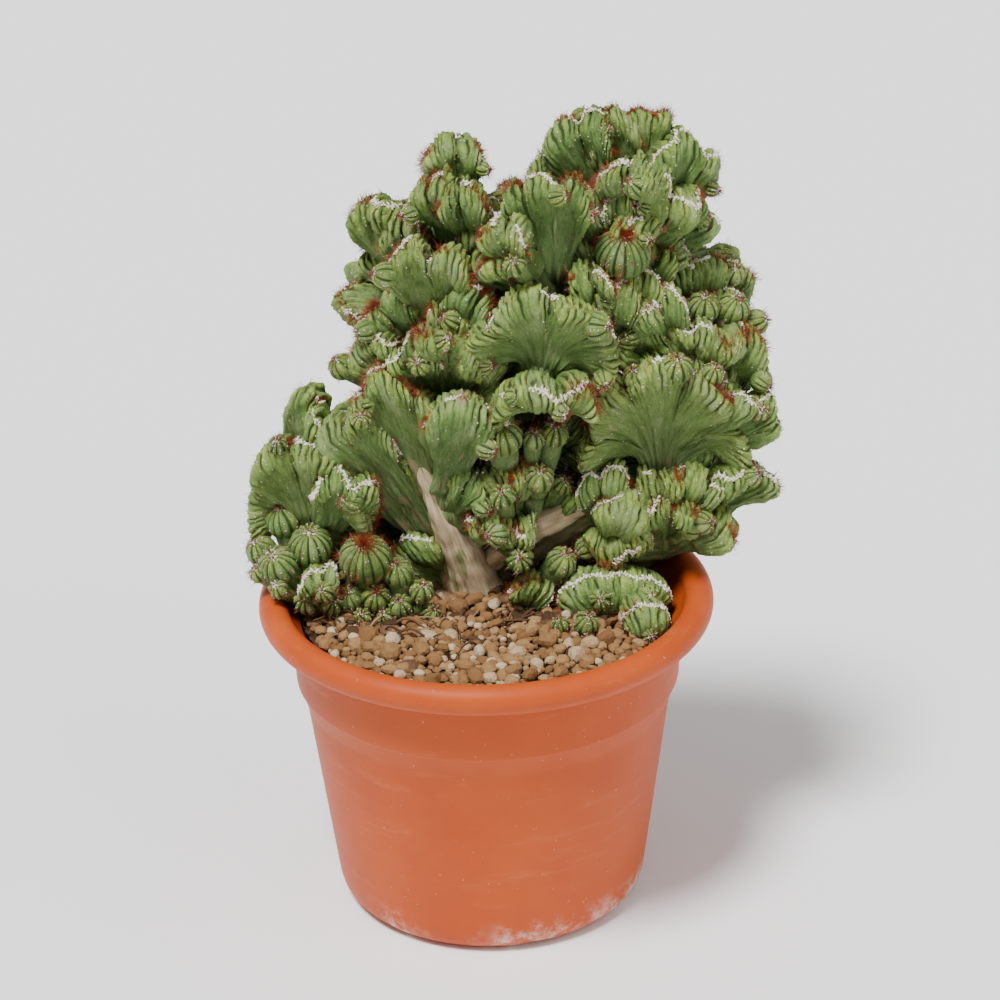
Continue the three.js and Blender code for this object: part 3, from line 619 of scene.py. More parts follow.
def dress_knob(surface, item, wool, spines, rng):
    """Wool and spines on the sunken pole of a knob, areoles down its ribs."""
    grid, out, radius = surface["grid"], surface["out"], surface["radius"]
    a, b = side_axes(surface["pole"])
    count = int(10 + 26 * item["wool"] * radius / 6)
    angle = rng.uniform(0, TAU, count)
    spread = np.abs(rng.normal(0, 0.16 * radius + 0.3, count))
    top = surface["center"] + surface["pole"] * radius * 0.9
    ray = rays(a, b, angle)
    lateral = np.cross(ray, surface["pole"])
    add_tufts(top + ray * spread[:, None], ray * rng.uniform(0.3, 1.0, count)[:, None],
              lateral * rng.uniform(0.25, 0.5, count)[:, None],
              surface["pole"] * rng.uniform(0.3, 0.6, count)[:, None],
              wool, rng.uniform(0, 1, count))
    ok = (surface["polar"] > 0.4) & (surface["polar"] < 1.9) & (surface["apart"] > 0.4 * RIB_PITCH)
    r, c = np.nonzero(ok)
    keep = rng.random(len(r)) < 0.22
    r, c = r[keep], c[keep]
    size = rng.uniform(0.22, 0.45, len(r))
    x, y = side_axes(out[r, c])
    add_tufts(grid[r, c] + out[r, c] * 0.1, x * size[:, None], y * size[:, None],
              out[r, c] * 0.25, wool, rng.uniform(0, 1, len(r)))
    each = 5 if item["red"] > 0.6 else 2
    base = np.repeat(grid[r, c], each, axis=0)
    lean = unit(np.repeat(out[r, c], each, axis=0) + rng.normal(0, 0.5, (len(base), 3)))
    tone = np.clip(rng.normal(0.35 + 0.4 * item["red"], 0.2, len(base)), 0, 1)
    add_spines(base, lean, rng.uniform(1.2, 3.4 + 2.2 * item["red"], len(base)), spines, tone, 0.11)
    crown = int(20 + 260 * item["red"] * radius / 8)
    angle = rng.uniform(0, TAU, crown)
    spread = np.abs(rng.normal(0, 0.28 * radius, crown))
    ray = rays(a, b, angle)
    base = surface["center"] + surface["pole"] * radius * 0.88 + ray * spread[:, None]
    base = surface["center"] + unit(base - surface["center"]) * radius * 0.93
    lean = unit(surface["pole"] + ray * 0.5 + rng.normal(0, 0.4, (crown, 3)))
    tone = np.clip(rng.normal(0.45 + 0.5 * item["red"], 0.18, crown), 0, 1)
    add_spines(base, lean, rng.uniform(1.5, 3.0 + 2.8 * item["red"], crown), spines, tone, 0.13)


# ---- branches: the CAD's numbers, with how woolly and how red each crest is ------------------
BRANCHES = [
    dict(name="crest_star", hub=(26, 4, 252), lobes=[
        lobe((28, -6, 291), 42, 68, 8, 6, 0, 0.35, 0.10, spread=110),
        lobe((26, -20, 253), 30, 56, 7.5, 5, 0, 0.70, 0.25, spread=80, curl=0.1, base=(26, 6, 232)),
    ]),
    dict(name="crest_right_fan", hub=(77, 20, 190), lobes=[
        lobe((78, 4, 255), 60, 80, 8, 8, 5, 0.55, 0.20, spread=96, curl=0.08),
        lobe((124, 14, 231), 50, 38, 8.5, 5, 40, 1.0, 0.15, curl=0.15),
        lobe((107, 16, 243), 44, 36, 8, 4, 25, 0.5, 0.2),
        lobe((113, 29, 240), 36, 28, 8.5, 2, 30, 0.6, 0.3),
    ], knobs=[
        knob((65, 0, 246), 5, 0), knob((99, 3, 245), 5, 0), knob((83, 0, 249), 7, 0),
        knob((54, 2, 242), 7, 6, 0.4, 0.9), knob((113, 10, 223), 4.5, 6),
    ]),
    dict(name="crest_big_left", hub=(-8, 22, 134), lobes=[
        lobe((-46, 6, 253), 108, 58, 9.5, 5, -12, 0.55, 0.40, spread=38, neck=12, curl=0.05),
        lobe((-62, 10, 232), 92, 36, 10, 2, -30, 0.35, 0.15, spread=30, neck=8),
        lobe((-7, -6, 244), 50, 38, 11, 1, 5, 0.9, 0.25, base=(-18, 8, 180)),
        lobe((-2, -3, 204), 22, 28, 9, 2, 15, 0.6, 0.3, base=(-14, 6, 184)),
        lobe((-38, 10, 166), 36, 32, 8.5, 3, -20, 0.6, 0.2),
    ]),
    dict(name="crest_upper_middle", hub=(30, 24, 270), lobes=[
        lobe((29, 14, 339), 64, 48, 7.5, 5, -5, 0.55, 0.55),
        lobe((8, 0, 321), 36, 30, 8.5, 3, -30, 0.6, 0.2),
        lobe((0, 5, 302), 28, 26, 8, 2, -40, 0.5, 0.3),
        lobe((42, 30, 322), 52, 34, 7.5, 3, 30, 0.3, 0.5),
    ], knobs=[knob((15, -6, 300), 5)]),
    dict(name="crest_left_upper", hub=(-14, 24, 238), lobes=[
        lobe((-21, 10, 315), 64, 46, 9, 4, -12, 0.6, 0.3, curl=0.15),
        lobe((-43, 22, 279), 36, 34, 9, 3, -35, 0.5, 0.5),
        lobe((0, 2, 289), 36, 28, 8.5, 2, -10, 0.5, 0.4),
        lobe((-12, 5, 280), 34, 28, 8, 2, 0, 0.5, 0.3),
    ], knobs=[knob((-42, 22, 266), 8, 14, 0.5, 0.7)]),
    dict(name="crest_left_middle", hub=(-15, 26, 214), lobes=[
        lobe((-33, 6, 265), 34, 34, 9, 3, -15, 1.0, 0.2, curl=0.15),
        lobe((-51, 16, 264), 40, 30, 8.5, 3, -35, 1.0, 0.2),
        lobe((-13, 2, 273), 40, 36, 9, 4, -5, 0.4, 0.9, curl=0.15),
        lobe((5, 0, 262), 36, 30, 9, 2, 5, 0.5, 0.3),
        lobe((13, -4, 237), 28, 28, 8.5, 3, 0, 0.5, 0.3),
    ], knobs=[knob((-60, 19, 245), 6, 30)]),
    dict(name="crest_left_low", hub=(-72, 16, 160), lobes=[
        lobe((-80, 4, 221), 56, 60, 8, 7, -15, 0.6, 0.15, spread=88, curl=0.05),
        lobe((-56, -6, 208), 34, 40, 8.5, 4, 15, 1.0, 0.15),
        lobe((-68, 24, 218), 54, 58, 8, 6, -5, 0.3, 0.9, spread=80),
        lobe((-71, 14, 238), 62, 22, 8.5, 2, -40, 0.9, 0.2, spread=30),
    ]),
    dict(name="crest_top_right", hub=(64, 46, 280), lobes=[
        lobe((40, 40, 353), 54, 36, 11, 2, -20, 0.9, 0.2),
        lobe((55, 44, 354), 56, 28, 10, 2, 5, 0.5, 0.6),
        lobe((69, 22, 341), 48, 38, 10, 4, -10, 0.9, 0.3, curl=0.2),
        lobe((68, 12, 316), 28, 26, 8.5, 2, -5, 0.6, 0.3),
        lobe((85, 20, 325), 40, 40, 11.5, 3, 25, 1.0, 0.2),
        lobe((93, 46, 338), 56, 42, 10, 4, 30, 1.0, 0.2),
        lobe((101, 40, 313), 46, 34, 9.5, 3, 45, 0.7, 0.2),
        lobe((53, 20, 324), 40, 32, 9.5, 3, -10, 0.5, 0.4),
        lobe((91, 36, 298), 30, 32, 9.5, 3, 30, 0.6, 0.3),
        lobe((74, 58, 348), 46, 32, 9.5, 3, 10, 0.4, 1.0),
        lobe((29, 42, 326), 50, 30, 7.5, 3, -40, 0.5, 0.3),
    ]),
    dict(name="crest_top_left", hub=(0, 42, 272), lobes=[
        lobe((-12, 32, 347), 36, 36, 9.5, 3, -5, 0.6, 0.5),
        lobe((-21, 18, 333), 36, 24, 9, 2, -30, 0.5, 0.5),
        lobe((-6, 16, 331), 38, 29, 9.5, 3, -10, 0.6, 0.5),
        lobe((9, 36, 315), 34, 26, 9, 2, 20, 0.5, 0.4),
        lobe((0, 20, 310), 28, 24, 8.5, 2, 0, 0.5, 0.4),
    ]),
    dict(name="crest_left_back", hub=(-22, 46, 256), lobes=[
        lobe((-44, 40, 316), 48, 36, 9, 4, -35, 0.6, 0.4),
        lobe((-16, 40, 312), 34, 30, 9, 2, -10, 0.5, 0.4),
        lobe((-32, 28, 313), 42, 26, 9, 2, -20, 0.6, 0.4),
        lobe((-42, 46, 296), 40, 36, 8.5, 3, -45, 0.6, 0.3),
        lobe((-36, 66, 306), 44, 38, 9, 4, -130, 0.6, 0.3),
    ]),
    dict(name="crest_right_upper", hub=(90, 32, 228), lobes=[
        lobe((73, 10, 280), 40, 34, 9.5, 3, -10, 1.0, 0.15, curl=0.1),
        lobe((89, 12, 269), 34, 26, 9, 2, 0, 1.0, 0.15),
        lobe((101, 12, 262), 28, 24, 9, 1, 10, 0.7, 0.3),
        lobe((119, 18, 260), 42, 34, 9.5, 3, 40, 0.5, 0.8),
        lobe((107, 40, 272), 46, 46, 8.5, 5, 20, 0.6, 0.6, curl=0.15),
        lobe((60, 14, 263), 42, 32, 8.5, 3, -20, 0.5, 0.3),
        lobe((72, 8, 257), 26, 26, 8.5, 2, 0, 0.6, 0.2),
    ], knobs=[knob((96, 22, 268), 7), knob((109, 27, 265), 7.5)]),
    dict(name="crest_right_knobs", hub=(92, 50, 244), lobes=[
        lobe((87, 36, 285), 30, 24, 9.5, 1, 0, 0.8, 0.3),
        lobe((100, 42, 286), 32, 24, 9.5, 1, 15, 0.8, 0.4),
        lobe((116, 56, 277), 36, 32, 8.5, 3, 45, 0.6, 0.4),
        lobe((104, 68, 282), 40, 36, 8.5, 4, 130, 0.6, 0.3),
    ], knobs=[knob((110, 42, 275), 5)]),
    dict(name="crest_middle_right", hub=(57, 28, 248), lobes=[
        lobe((45, 4, 295), 32, 26, 9, 2, -5, 0.6, 0.4),
        lobe((58, 6, 286), 30, 30, 9, 2, 0, 0.6, 0.3),
        lobe((69, 14, 291), 36, 28, 9, 2, 20, 0.6, 0.3),
        lobe((76, 32, 297), 42, 32, 8.5, 3, 10, 0.6, 0.3),
        lobe((48, 26, 303), 34, 30, 8.5, 2, 0, 0.5, 0.8),
    ], knobs=[knob((61, 14, 297), 11.5, 14, 0.5, 1.0)]),
    dict(name="crest_lower_right", hub=(79, 24, 154), lobes=[
        lobe((51, 2, 204), 40, 32, 9.5, 2, -10, 1.0, 0.2, base=(56, 16, 158)),
        lobe((63, -6, 192), 26, 32, 11.5, 1, 5, 0.9, 0.2, base=(54, 8, 162)),
        lobe((80, 0, 192), 30, 36, 9, 4, 0, 0.8, 0.7, curl=0.2),
        lobe((106, 2, 182), 36, 34, 11.5, 2, 25, 0.8, 0.2),
        lobe((118, 14, 205), 46, 34, 9, 4, 35, 1.0, 0.2, curl=0.2, base=(95, 22, 166)),
        lobe((98, 6, 200), 36, 32, 9, 3, 5, 0.7, 0.2),
        lobe((75, 4, 202), 38, 28, 9, 3, 0, 0.7, 0.3),
        lobe((99, 24, 209), 38, 32, 9, 3, 15, 0.7, 0.3),
        lobe((59, -12, 163), 24, 38, 8.5, 4, -5, 0.6, 0.2, base=(58, 8, 172)),
    ]),
    dict(name="crest_centre", hub=(15, 20, 150), lobes=[
        lobe((9, -4, 208), 26, 30, 8.5, 3, 0, 0.6, 0.5),
        lobe((-1, -8, 188), 24, 24, 8.5, 2, -20, 0.6, 0.5),
        lobe((13, -12, 184), 24, 28, 8.5, 3, 0, 0.6, 0.5),
        lobe((33, 12, 197), 36, 36, 8.5, 4, 10, 0.5, 0.4),
    ], knobs=[
        knob((8, -3, 220), 9, 20), knob((22, -1, 218), 5, 24), knob((31, 1, 219), 6, 24),
        knob((8, -14, 197), 5.5), knob((24, -3, 200), 6.5, 24), knob((15, -12, 166), 6),
    ]),
    dict(name="crest_centre_back", hub=(36, 38, 198), lobes=[
        lobe((34, 22, 223), 30, 36, 8.5, 4, 0),
        lobe((50, 17, 216), 32, 34, 8.5, 4, 10),
        lobe((20, 25, 215), 30, 32, 8.5, 3, -10),
        lobe((50, 22, 196), 28, 34, 8.5, 4, 10),
        lobe((28, 22, 192), 26, 32, 8.5, 3, 0),
        lobe((15, 34, 236), 34, 36, 9, 3, -10),
        lobe((18, 40, 228), 36, 30, 9, 2, 0),
        lobe((9, 44, 222), 36, 34, 9, 2, 0),
        lobe((74, 34, 208), 34, 32, 9, 2, 0),
        lobe((64, 26, 209), 30, 34, 8.5, 3, 10),
    ]),
    dict(name="crest_upper_back", hub=(32, 62, 280), lobes=[
        lobe((20, 60, 318), 42, 38, 9, 4, -20),
        lobe((38, 66, 328), 44, 38, 9, 4, 0),
        lobe((17, 42, 301), 34, 32, 8.5, 3, -10),
        lobe((52, 74, 318), 42, 40, 9, 4, 150),
        lobe((4, 66, 306), 40, 36, 9, 4, -160),
    ]),
    dict(name="crest_front_base", hub=(56, 6, 122), lobes=[
        lobe((55, -10, 158), 28, 62, 12, 1, 0, 1.0, 0.15, spread=60),
    ]),
    dict(name="offset_front", hub=(66, -16, 128), lobes=[
        lobe((69, -26, 151), 21, 26, 11.5, 1, 15, 1.0, 0.3),
    ]),
    dict(name="crest_centre_low", hub=(10, 6, 128), lobes=[
        lobe((25, -10, 157), 30, 26, 8.5, 2, 10, 0.6, 0.4),
    ], knobs=[knob((33, -4, 160), 7, 20)]),
    dict(name="offsets_left", hub=(-74, 4, 136), lobes=[
        lobe((-72, -14, 165), 20, 22, 9, 2, 0, 1.0, 0.1, curl=0.1, base=(-72, -8, 140)),
    ], knobs=[
        knob((-98, 5, 164), 7, 40, 1, 0.1), knob((-90, -7, 163), 8.6, 40, 1, 0.1),
        knob((-76, -1, 169), 9.6, 30, 1, 0.1), knob((-99, -5, 158), 4.2, 40, 1, 0.1),
        knob((-90, -14, 155), 4.5, 24, 1, 0.1), knob((-61, 5, 152), 6, 14, 1, 0.1),
        knob((-88, 8, 177), 8, 30, 0.8, 0.2), knob((-78, -13, 148), 6, 0, 0.8, 0.2),
        knob((-67, -15, 148), 5.5, 0, 0.8, 0.2),
    ]),
    dict(name="offset_red", hub=(-50, 0, 130), knobs=[
        knob((-52, -9, 166), 11.3, 24, 0.6, 1.0), knob((-48, -13, 149), 6.5, 0, 0.5, 0.5),
        knob((-59, -11, 148), 6, 0, 0.5, 0.3), knob((-54, -19, 143), 4, 0, 0.5, 0.3),
    ]),
    dict(name="offset_front_left", hub=(-34, -6, 130), knobs=[
        knob((-38, -10, 159), 6.8, 24), knob((-28, -14, 152), 5.5, 20),
        knob((-37, -15, 146), 5.5, 0), knob((-24, -15, 142), 4.5, 0), knob((-44, -17, 142), 4, 0),
    ]),
    dict(name="offsets_grit", hub=(36, -26, 128), knobs=[
        knob((32, -30, 143), 4, 8), knob((43, -31, 144), 5.4, 10),
    ]),
]

# The far side: rings of crests around the trunk.
RING_CENTER = (12, 36)
RINGS = [
    dict(name="crest_back_low", z=178, across=78, deep=56, first=96, last=262),
    dict(name="crest_back_middle", z=228, across=74, deep=54, first=102, last=258),
    dict(name="crest_back_upper", z=276, across=62, deep=46, first=110, last=250),
]
RING_CRESTS = 4

STEM = [((-7, 31, 118), 15), ((-5, 33, 150), 12), ((1, 36, 205), 10), ((9, 41, 255), 8),
        ((14, 43, 285), 6)]
ARM = [((-2, 28, 138), 8), ((49, 10, 175), 5)]
# The woody foot that shows in front, where the big left stem leaves the ground.
STEM_FOOT = [
    [((-3, 20, 126), 17), ((-5, 17, 138), 13.5), ((-9, 13, 152), 11), ((-14, 8.5, 168), 8.5),
     ((-19, 5.5, 183), 6), ((-25, 5, 198), 3.2), ((-31, 6, 212), 0.6)],
    [((0, 16, 150), 5), ((12, 10, 163), 5.5), ((26, 7, 174), 5.5), ((38, 6, 180), 4.5),
     ((50, 8, 184), 1.5)],
]
LIMBS = dict(
    crest_star=(4, 37, 222), crest_right_fan=(-2, 34, 172), crest_big_left=(-6, 33, 140),
    crest_upper_middle=(8, 40, 248), crest_left_upper=(2, 37, 212), crest_left_middle=(0, 36, 190),
    crest_left_low=(-6, 33, 140), crest_top_right=(12, 42, 268), crest_top_left=(8, 41, 252),
    crest_left_back=(4, 38, 226), crest_right_upper=(4, 38, 224), crest_right_knobs=(8, 40, 244),
    crest_middle_right=(6, 38, 232), crest_lower_right=(49, 10, 172), crest_centre=(-5, 33, 148),
    crest_centre_back=(-1, 35, 180), crest_upper_back=(13, 42, 274),
)


def ring_branch(ring, order):
    """A ring of crests round the back of the trunk, at one height."""
    cx, cy = RING_CENTER
    lobes = []
    for i in range(RING_CRESTS):
        face = ring["first"] + (ring["last"] - ring["first"]) * i / (RING_CRESTS - 1)
        a = math.radians(face)
        wobble = math.sin(7 * i + 3 * order)

        def at(share, z):
            return (round(cx + share * ring["across"] * math.sin(a)),
                    round(cy - share * ring["deep"] * math.cos(a)),
                    round(z))

        lobes.append(lobe(at(1, ring["z"] + 9 * wobble), 54 + 4 * wobble, 62 + 5 * wobble, 9.5,
                          5 + i % 3, face, 0.6, 0.3, base=at(0.6, ring["z"] - 48), curl=0.1))
        if i % 2 == 1:
            lobes.append(lobe(at(0.74, ring["z"] + 18 - 6 * wobble), 38, 38, 9, 3, face + 12,
                              0.7, 0.3, base=at(0.45, ring["z"] - 26)))
    LIMBS[ring["name"]] = (4, 38, ring["z"] - 52)
    return dict(name=ring["name"], hub=(cx, cy + 14, ring["z"] - 48), lobes=lobes)


# ---- shader nodes --------------------------------------------------------------------------
class Shader:
    """A node material and short ways to add nodes to it. Sockets or plain values both work."""

    def __init__(self, name, roughness=0.6, specular=0.4):
        self.material = bpy.data.materials.new(name)
        self.material.use_nodes = True
        self.tree = self.material.node_tree
        self.surface = self.tree.nodes["Principled BSDF"]
        self.surface.inputs["Roughness"].default_value = roughness
        self.surface.inputs["Specular IOR Level"].default_value = specular

    def node(self, kind, inputs=(), **settings):
        made = self.tree.nodes.new("ShaderNode" + kind)
        for key, value in settings.items():
            setattr(made, key, value)
        for key, value in dict(inputs).items():
            self.feed(made.inputs[key], value)
        return made

    def feed(self, socket, value):
        """Links a socket to another socket, or sets it to a plain value."""
        if isinstance(value, bpy.types.NodeSocket):
            self.tree.links.new(value, socket)
        elif hasattr(socket.default_value, "__len__") and len(socket.default_value) == 4:
            socket.default_value = (*value, 1) if len(value) == 3 else value
        else:
            socket.default_value = value

    def attribute(self, name, output="Fac"):
        return self.node("Attribute", attribute_name=name).outputs[output]

    def place(self):
        return self.node("TexCoord").outputs["Object"]

    def times(self, vector, scale):
        made = self.node("VectorMath", {0: vector, 1: scale}, operation="MULTIPLY")
        return made.outputs[0]

    def noise(self, vector, scale=1.0, detail=2.0, rough=0.5):
        inputs = {"Vector": vector, "Scale": scale, "Detail": detail, "Roughness": rough}
        return self.node("TexNoise", inputs).outputs["Fac"]

    def cells(self, vector, scale=1.0, output="Distance"):
        return self.node("TexVoronoi", {"Vector": vector, "Scale": scale}).outputs[output]

    def math(self, operation, a, b=0.0):
        return self.node("Math", {0: a, 1: b}, operation=operation).outputs[0]

    def band(self, value, low, high, start=0.0, end=1.0):
        """A smooth change from start to end while the value goes from low to high."""
        inputs = {"Value": value, "From Min": low, "From Max": high, "To Min": start, "To Max": end}
        return self.node("MapRange", inputs, interpolation_type="SMOOTHSTEP").outputs["Result"]

    def mix(self, factor, a, b, blend="MIX"):
        made = self.node("Mix", data_type="RGBA", blend_type=blend)
        self.feed(made.inputs[0], factor)
        self.feed(made.inputs[6], a)
        self.feed(made.inputs[7], b)
        return made.outputs[2]

    def ramp(self, factor, stops):
        made = self.node("ValToRGB", {"Fac": factor})
        elements = made.color_ramp.elements
        while len(elements) < len(stops):
            elements.new(0.5)
        for element, (spot, color) in zip(elements, stops):
            element.position = spot
            element.color = (*color, 1)
        return made.outputs["Color"]

    def bump(self, height, strength, distance):
        inputs = {"Height": height, "Strength": strength, "Distance": distance}
        self.feed(self.surface.inputs["Normal"], self.node("Bump", inputs).outputs["Normal"])

    def color(self, value):
        self.feed(self.surface.inputs["Base Color"], value)
        return self.material


def skin_material():
    """Waxy green skin: pale ridges near the crest, painted shade in the grooves between ribs and in
    the clefts between lobes, streaked faces, corky scars.
    """
    s = Shader("cactus_skin", 0.5, 0.25)
    ridge = s.attribute("ridge")
    cleft = s.attribute("cleft")
    down = s.attribute("down")
    tone = s.attribute("tone")
    flow = s.attribute("flow", "Vector")
    streaks = s.noise(s.times(flow, (1.2, 0.13, 1.0)), 1.0, 4.0, 0.65)
    clouds = s.noise(s.times(flow, (0.08, 0.07, 1.0)), 1.0, 4.0, 0.6)
    mottle = s.noise(s.times(flow, (0.55, 0.30, 1.0)), 1.0, 5.0, 0.7)
    dots = s.cells(s.times(flow, (1.0, 0.75, 1.0)), 0.36)
    specks = s.noise(flow, 1.3, 1.0)
    # Pale yellow-green on the young ribs near the crest, in uneven patches.
    base = s.mix(tone, (0.128, 0.225, 0.058), (0.178, 0.268, 0.062))
    fresh = s.mix(tone, (0.31, 0.44, 0.085), (0.41, 0.49, 0.095))
    patches = s.noise(s.times(flow, (0.30, 0.12, 1.0)), 1.0, 3.0, 0.6)
    near = s.band(down, 1.0, 16.0, 1.0, 0.0)
    young = s.math("MULTIPLY", near, s.band(patches, 0.36, 0.64, 0.12, 1.0))
    green = s.mix(young, base, fresh)
    layers = [
        (down, 14.0, 50.0, 0.50, (0.155, 0.218, 0.088)),  # duller far from the crest
        (streaks, 0.42, 0.68, 0.45, (0.070, 0.135, 0.034)),  # fine streaks along the ribs
        (clouds, 0.44, 0.70, 0.50, (0.30, 0.37, 0.17)),  # broad patches with a pale bloom
        (clouds, 0.46, 0.30, 0.50, (0.070, 0.130, 0.034)),
        (mottle, 0.50, 0.72, 0.72, (0.050, 0.105, 0.026)),
        (mottle, 0.45, 0.26, 0.38, (0.26, 0.38, 0.10)),
        (ridge, 0.92, 0.25, 0.85, (0.016, 0.034, 0.007)),  # painted shade in the grooves between ribs
        (cleft, 0.25, 0.9, 0.7, (0.028, 0.055, 0.014)),  # painted shade in the clefts between lobes
        (dots, 0.13, 0.07, 0.75, (0.62, 0.62, 0.45)),
        (specks, 0.66, 0.73, 0.7, (0.05, 0.06, 0.02)),
    ]
    for field, low, high, share, tint in layers:
        green = s.mix(s.band(field, low, high, 0.0, share), green, tint)
    # Old skin far from the crest turns tan and corky in patches.
    scars = s.noise(s.times(flow, (0.06, 0.045, 1.0)), 1.0, 5.0, 0.65)
    old = s.band(down, 14.0, 90.0, 0.66, 0.45)
    cork = s.band(s.math("SUBTRACT", scars, old), 0.0, 0.04)
    brown = s.mix(streaks, (0.24, 0.18, 0.09), (0.50, 0.40, 0.24))
    green = s.mix(s.math("MULTIPLY", cork, 0.85), green, brown)
    grain = s.noise(flow, 1.1, 4.0, 0.65)
    rough = s.math("ADD", grain, s.math("MULTIPLY", mottle, -1.6))
    s.bump(s.math("ADD", rough, s.math("MULTIPLY", streaks, 1.2)), 0.85, 0.0008)
    return s.color(green)


def wool_material():
    s = Shader("cactus_wool", 0.95, 0.1)
    tone = s.attribute("tone")
    return s.color(s.ramp(tone, [(0.0, (0.36, 0.27, 0.17)), (0.25, (0.60, 0.51, 0.37)),
                                 (0.6, (0.78, 0.72, 0.58)), (1.0, (0.88, 0.84, 0.74))]))


def spine_material():
    s = Shader("cactus_spines", 0.45, 0.4)
    tone = s.attribute("tone")
    return s.color(s.ramp(tone, [(0.0, (0.30, 0.19, 0.10)), (0.25, (0.10, 0.040, 0.018)),
                                 (0.6, (0.18, 0.034, 0.012)), (1.0, (0.33, 0.050, 0.016))]))


def cork_material():
    """Woody skin with streaks along the stem and dark cracks."""
    s = Shader("cork_bark", 0.9, 0.15)
    flow = s.attribute("flow", "Vector")
    streaks = s.noise(s.times(flow, (0.5, 0.07, 1.0)), 1.0, 5.0, 0.65)
    old = s.ramp(streaks, [(0.25, (0.07, 0.042, 0.020)), (0.42, (0.19, 0.125, 0.062)),
                           (0.60, (0.33, 0.24, 0.13)), (0.78, (0.48, 0.38, 0.24))])
    soft = s.noise(s.times(flow, (0.24, 0.05, 1.0)), 1.0, 4.0, 0.6)
    pale = s.ramp(soft, [(0.28, (0.27, 0.20, 0.10)), (0.45, (0.50, 0.38, 0.23)),
                         (0.60, (0.66, 0.53, 0.35)), (0.76, (0.74, 0.63, 0.46))])
    color = s.mix(s.attribute("pale"), old, pale)
    skin = s.ramp(streaks, [(0.3, (0.045, 0.085, 0.022)), (0.5, (0.095, 0.165, 0.045)),
                            (0.7, (0.17, 0.24, 0.08))])
    color = s.mix(s.math("MULTIPLY", s.attribute("green"), 0.9), color, skin)
    patches = s.band(s.noise(s.times(flow, (0.09, 0.04, 1.0)), 1.0, 4.0), 0.54, 0.62, 0.0, 0.75)
    color = s.mix(patches, color, (0.13, 0.19, 0.055))
    s.bump(streaks, 0.7, 0.0009)
    return s.color(color)


def pot_material():
    """Terracotta-coloured plastic, scuffed, with a pale lime bloom low on the front."""
    s = Shader("pot_plastic", 0.5, 0.2)
    place = s.place()
    scuffs = s.noise(s.times(place, (25.0, 25.0, 160.0)), 1.0, 6.0, 0.7)
    clouds = s.noise(place, 16.0, 4.0, 0.6)
    color = s.mix(s.band(clouds, 0.3, 0.7), (0.43, 0.062, 0.009), (0.49, 0.080, 0.013))
    color = s.mix(s.band(scuffs, 0.55, 0.78, 0.0, 0.30), color, (0.64, 0.22, 0.10))
    height = s.node("SeparateXYZ", {0: place}).outputs[2]
    crust = s.noise(place, 95.0, 6.0, 0.75)
    low = s.math("MULTIPLY", s.band(height, 0.020, 0.002), s.band(clouds, 0.42, 0.60))
    bloom = s.math("MULTIPLY", low, s.band(crust, 0.42, 0.62))
    color = s.mix(s.math("MULTIPLY", bloom, 0.85), color, (0.78, 0.66, 0.60))
    splash = s.noise(place, 420.0, 2.0, 0.5)
    color = s.mix(s.band(splash, 0.72, 0.77, 0.0, 0.4), color, (0.72, 0.40, 0.28))
    s.bump(scuffs, 0.15, 0.0006)
    return s.color(color)


def soil_material():
    s = Shader("potting_mix", 0.95, 0.1)
    place = s.place()
    crumbs = s.noise(place, 330.0, 5.0, 0.7)
    color = s.ramp(crumbs, [(0.3, (0.012, 0.007, 0.004)), (0.48, (0.045, 0.025, 0.013)),
                            (0.60, (0.105, 0.062, 0.034)), (0.75, (0.25, 0.165, 0.10))])
    s.bump(crumbs, 1.0, 0.002)
    return s.color(color)


def stone_material():
    s = Shader("grit_stones", 0.85, 0.2)
    tone = s.attribute("tone")
    color = s.ramp(tone, [(0.0, (0.14, 0.064, 0.022)), (0.3, (0.24, 0.122, 0.045)),
                          (0.6, (0.33, 0.185, 0.078)), (0.8, (0.42, 0.270, 0.135)),
                          (1.0, (0.60, 0.49, 0.33))])
    grain = s.noise(s.place(), 900.0, 4.0, 0.7)
    color = s.mix(s.band(grain, 0.3, 0.7, 0.0, 0.45), color, (0.17, 0.085, 0.035))
    s.bump(grain, 0.6, 0.0005)
    return s.color(color)


def debris_material():
    s = Shader("dead_bits", 0.9, 0.15)
    tone = s.attribute("tone")
    color = s.ramp(tone, [(0.0, (0.035, 0.018, 0.010)), (0.6, (0.13, 0.065, 0.034)),
                          (1.0, (0.42, 0.30, 0.17))])
    return s.color(color)


# ---- pieces --------------------------------------------------------------------------------
def finish_piece(piece, slot_name, *nodes):
    """Puts a piece on the one body, in place of its CAD nodes."""
    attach(piece, "root")
    if nodes:
        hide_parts(*nodes)
    return piece


def stalk(start, end, r0, r1, soup, seed, **values):
    """A short bowed limb between two points, slightly swollen at its ends."""
    start = np.asarray(start, float)
    end = np.asarray(end, float)
    steps = max(4, int(np.linalg.norm(end - start) / 3))
    sides = 20
    t = np.linspace(-0.04, 1.04, steps + 1)
    path = start + (end - start) * t[:, None]
    radii = r0 + (r1 - r0) * t
    radii = radii * (1 + 0.07 * np.sin(7 * t + seed))
    path[:, 2] += 0.6 * np.sin(3 * t + seed)
    along = np.repeat(t * np.linalg.norm(end - start), sides)
    around = np.tile(np.linspace(0, TAU * r0, sides, endpoint=False), len(t))
    flow = flowing(around, along, seed * 11.0)
    flow = np.concatenate([flow, flow[:1], flow[-1:]])
    tube(path, radii, sides, soup, flow=flow, **values)


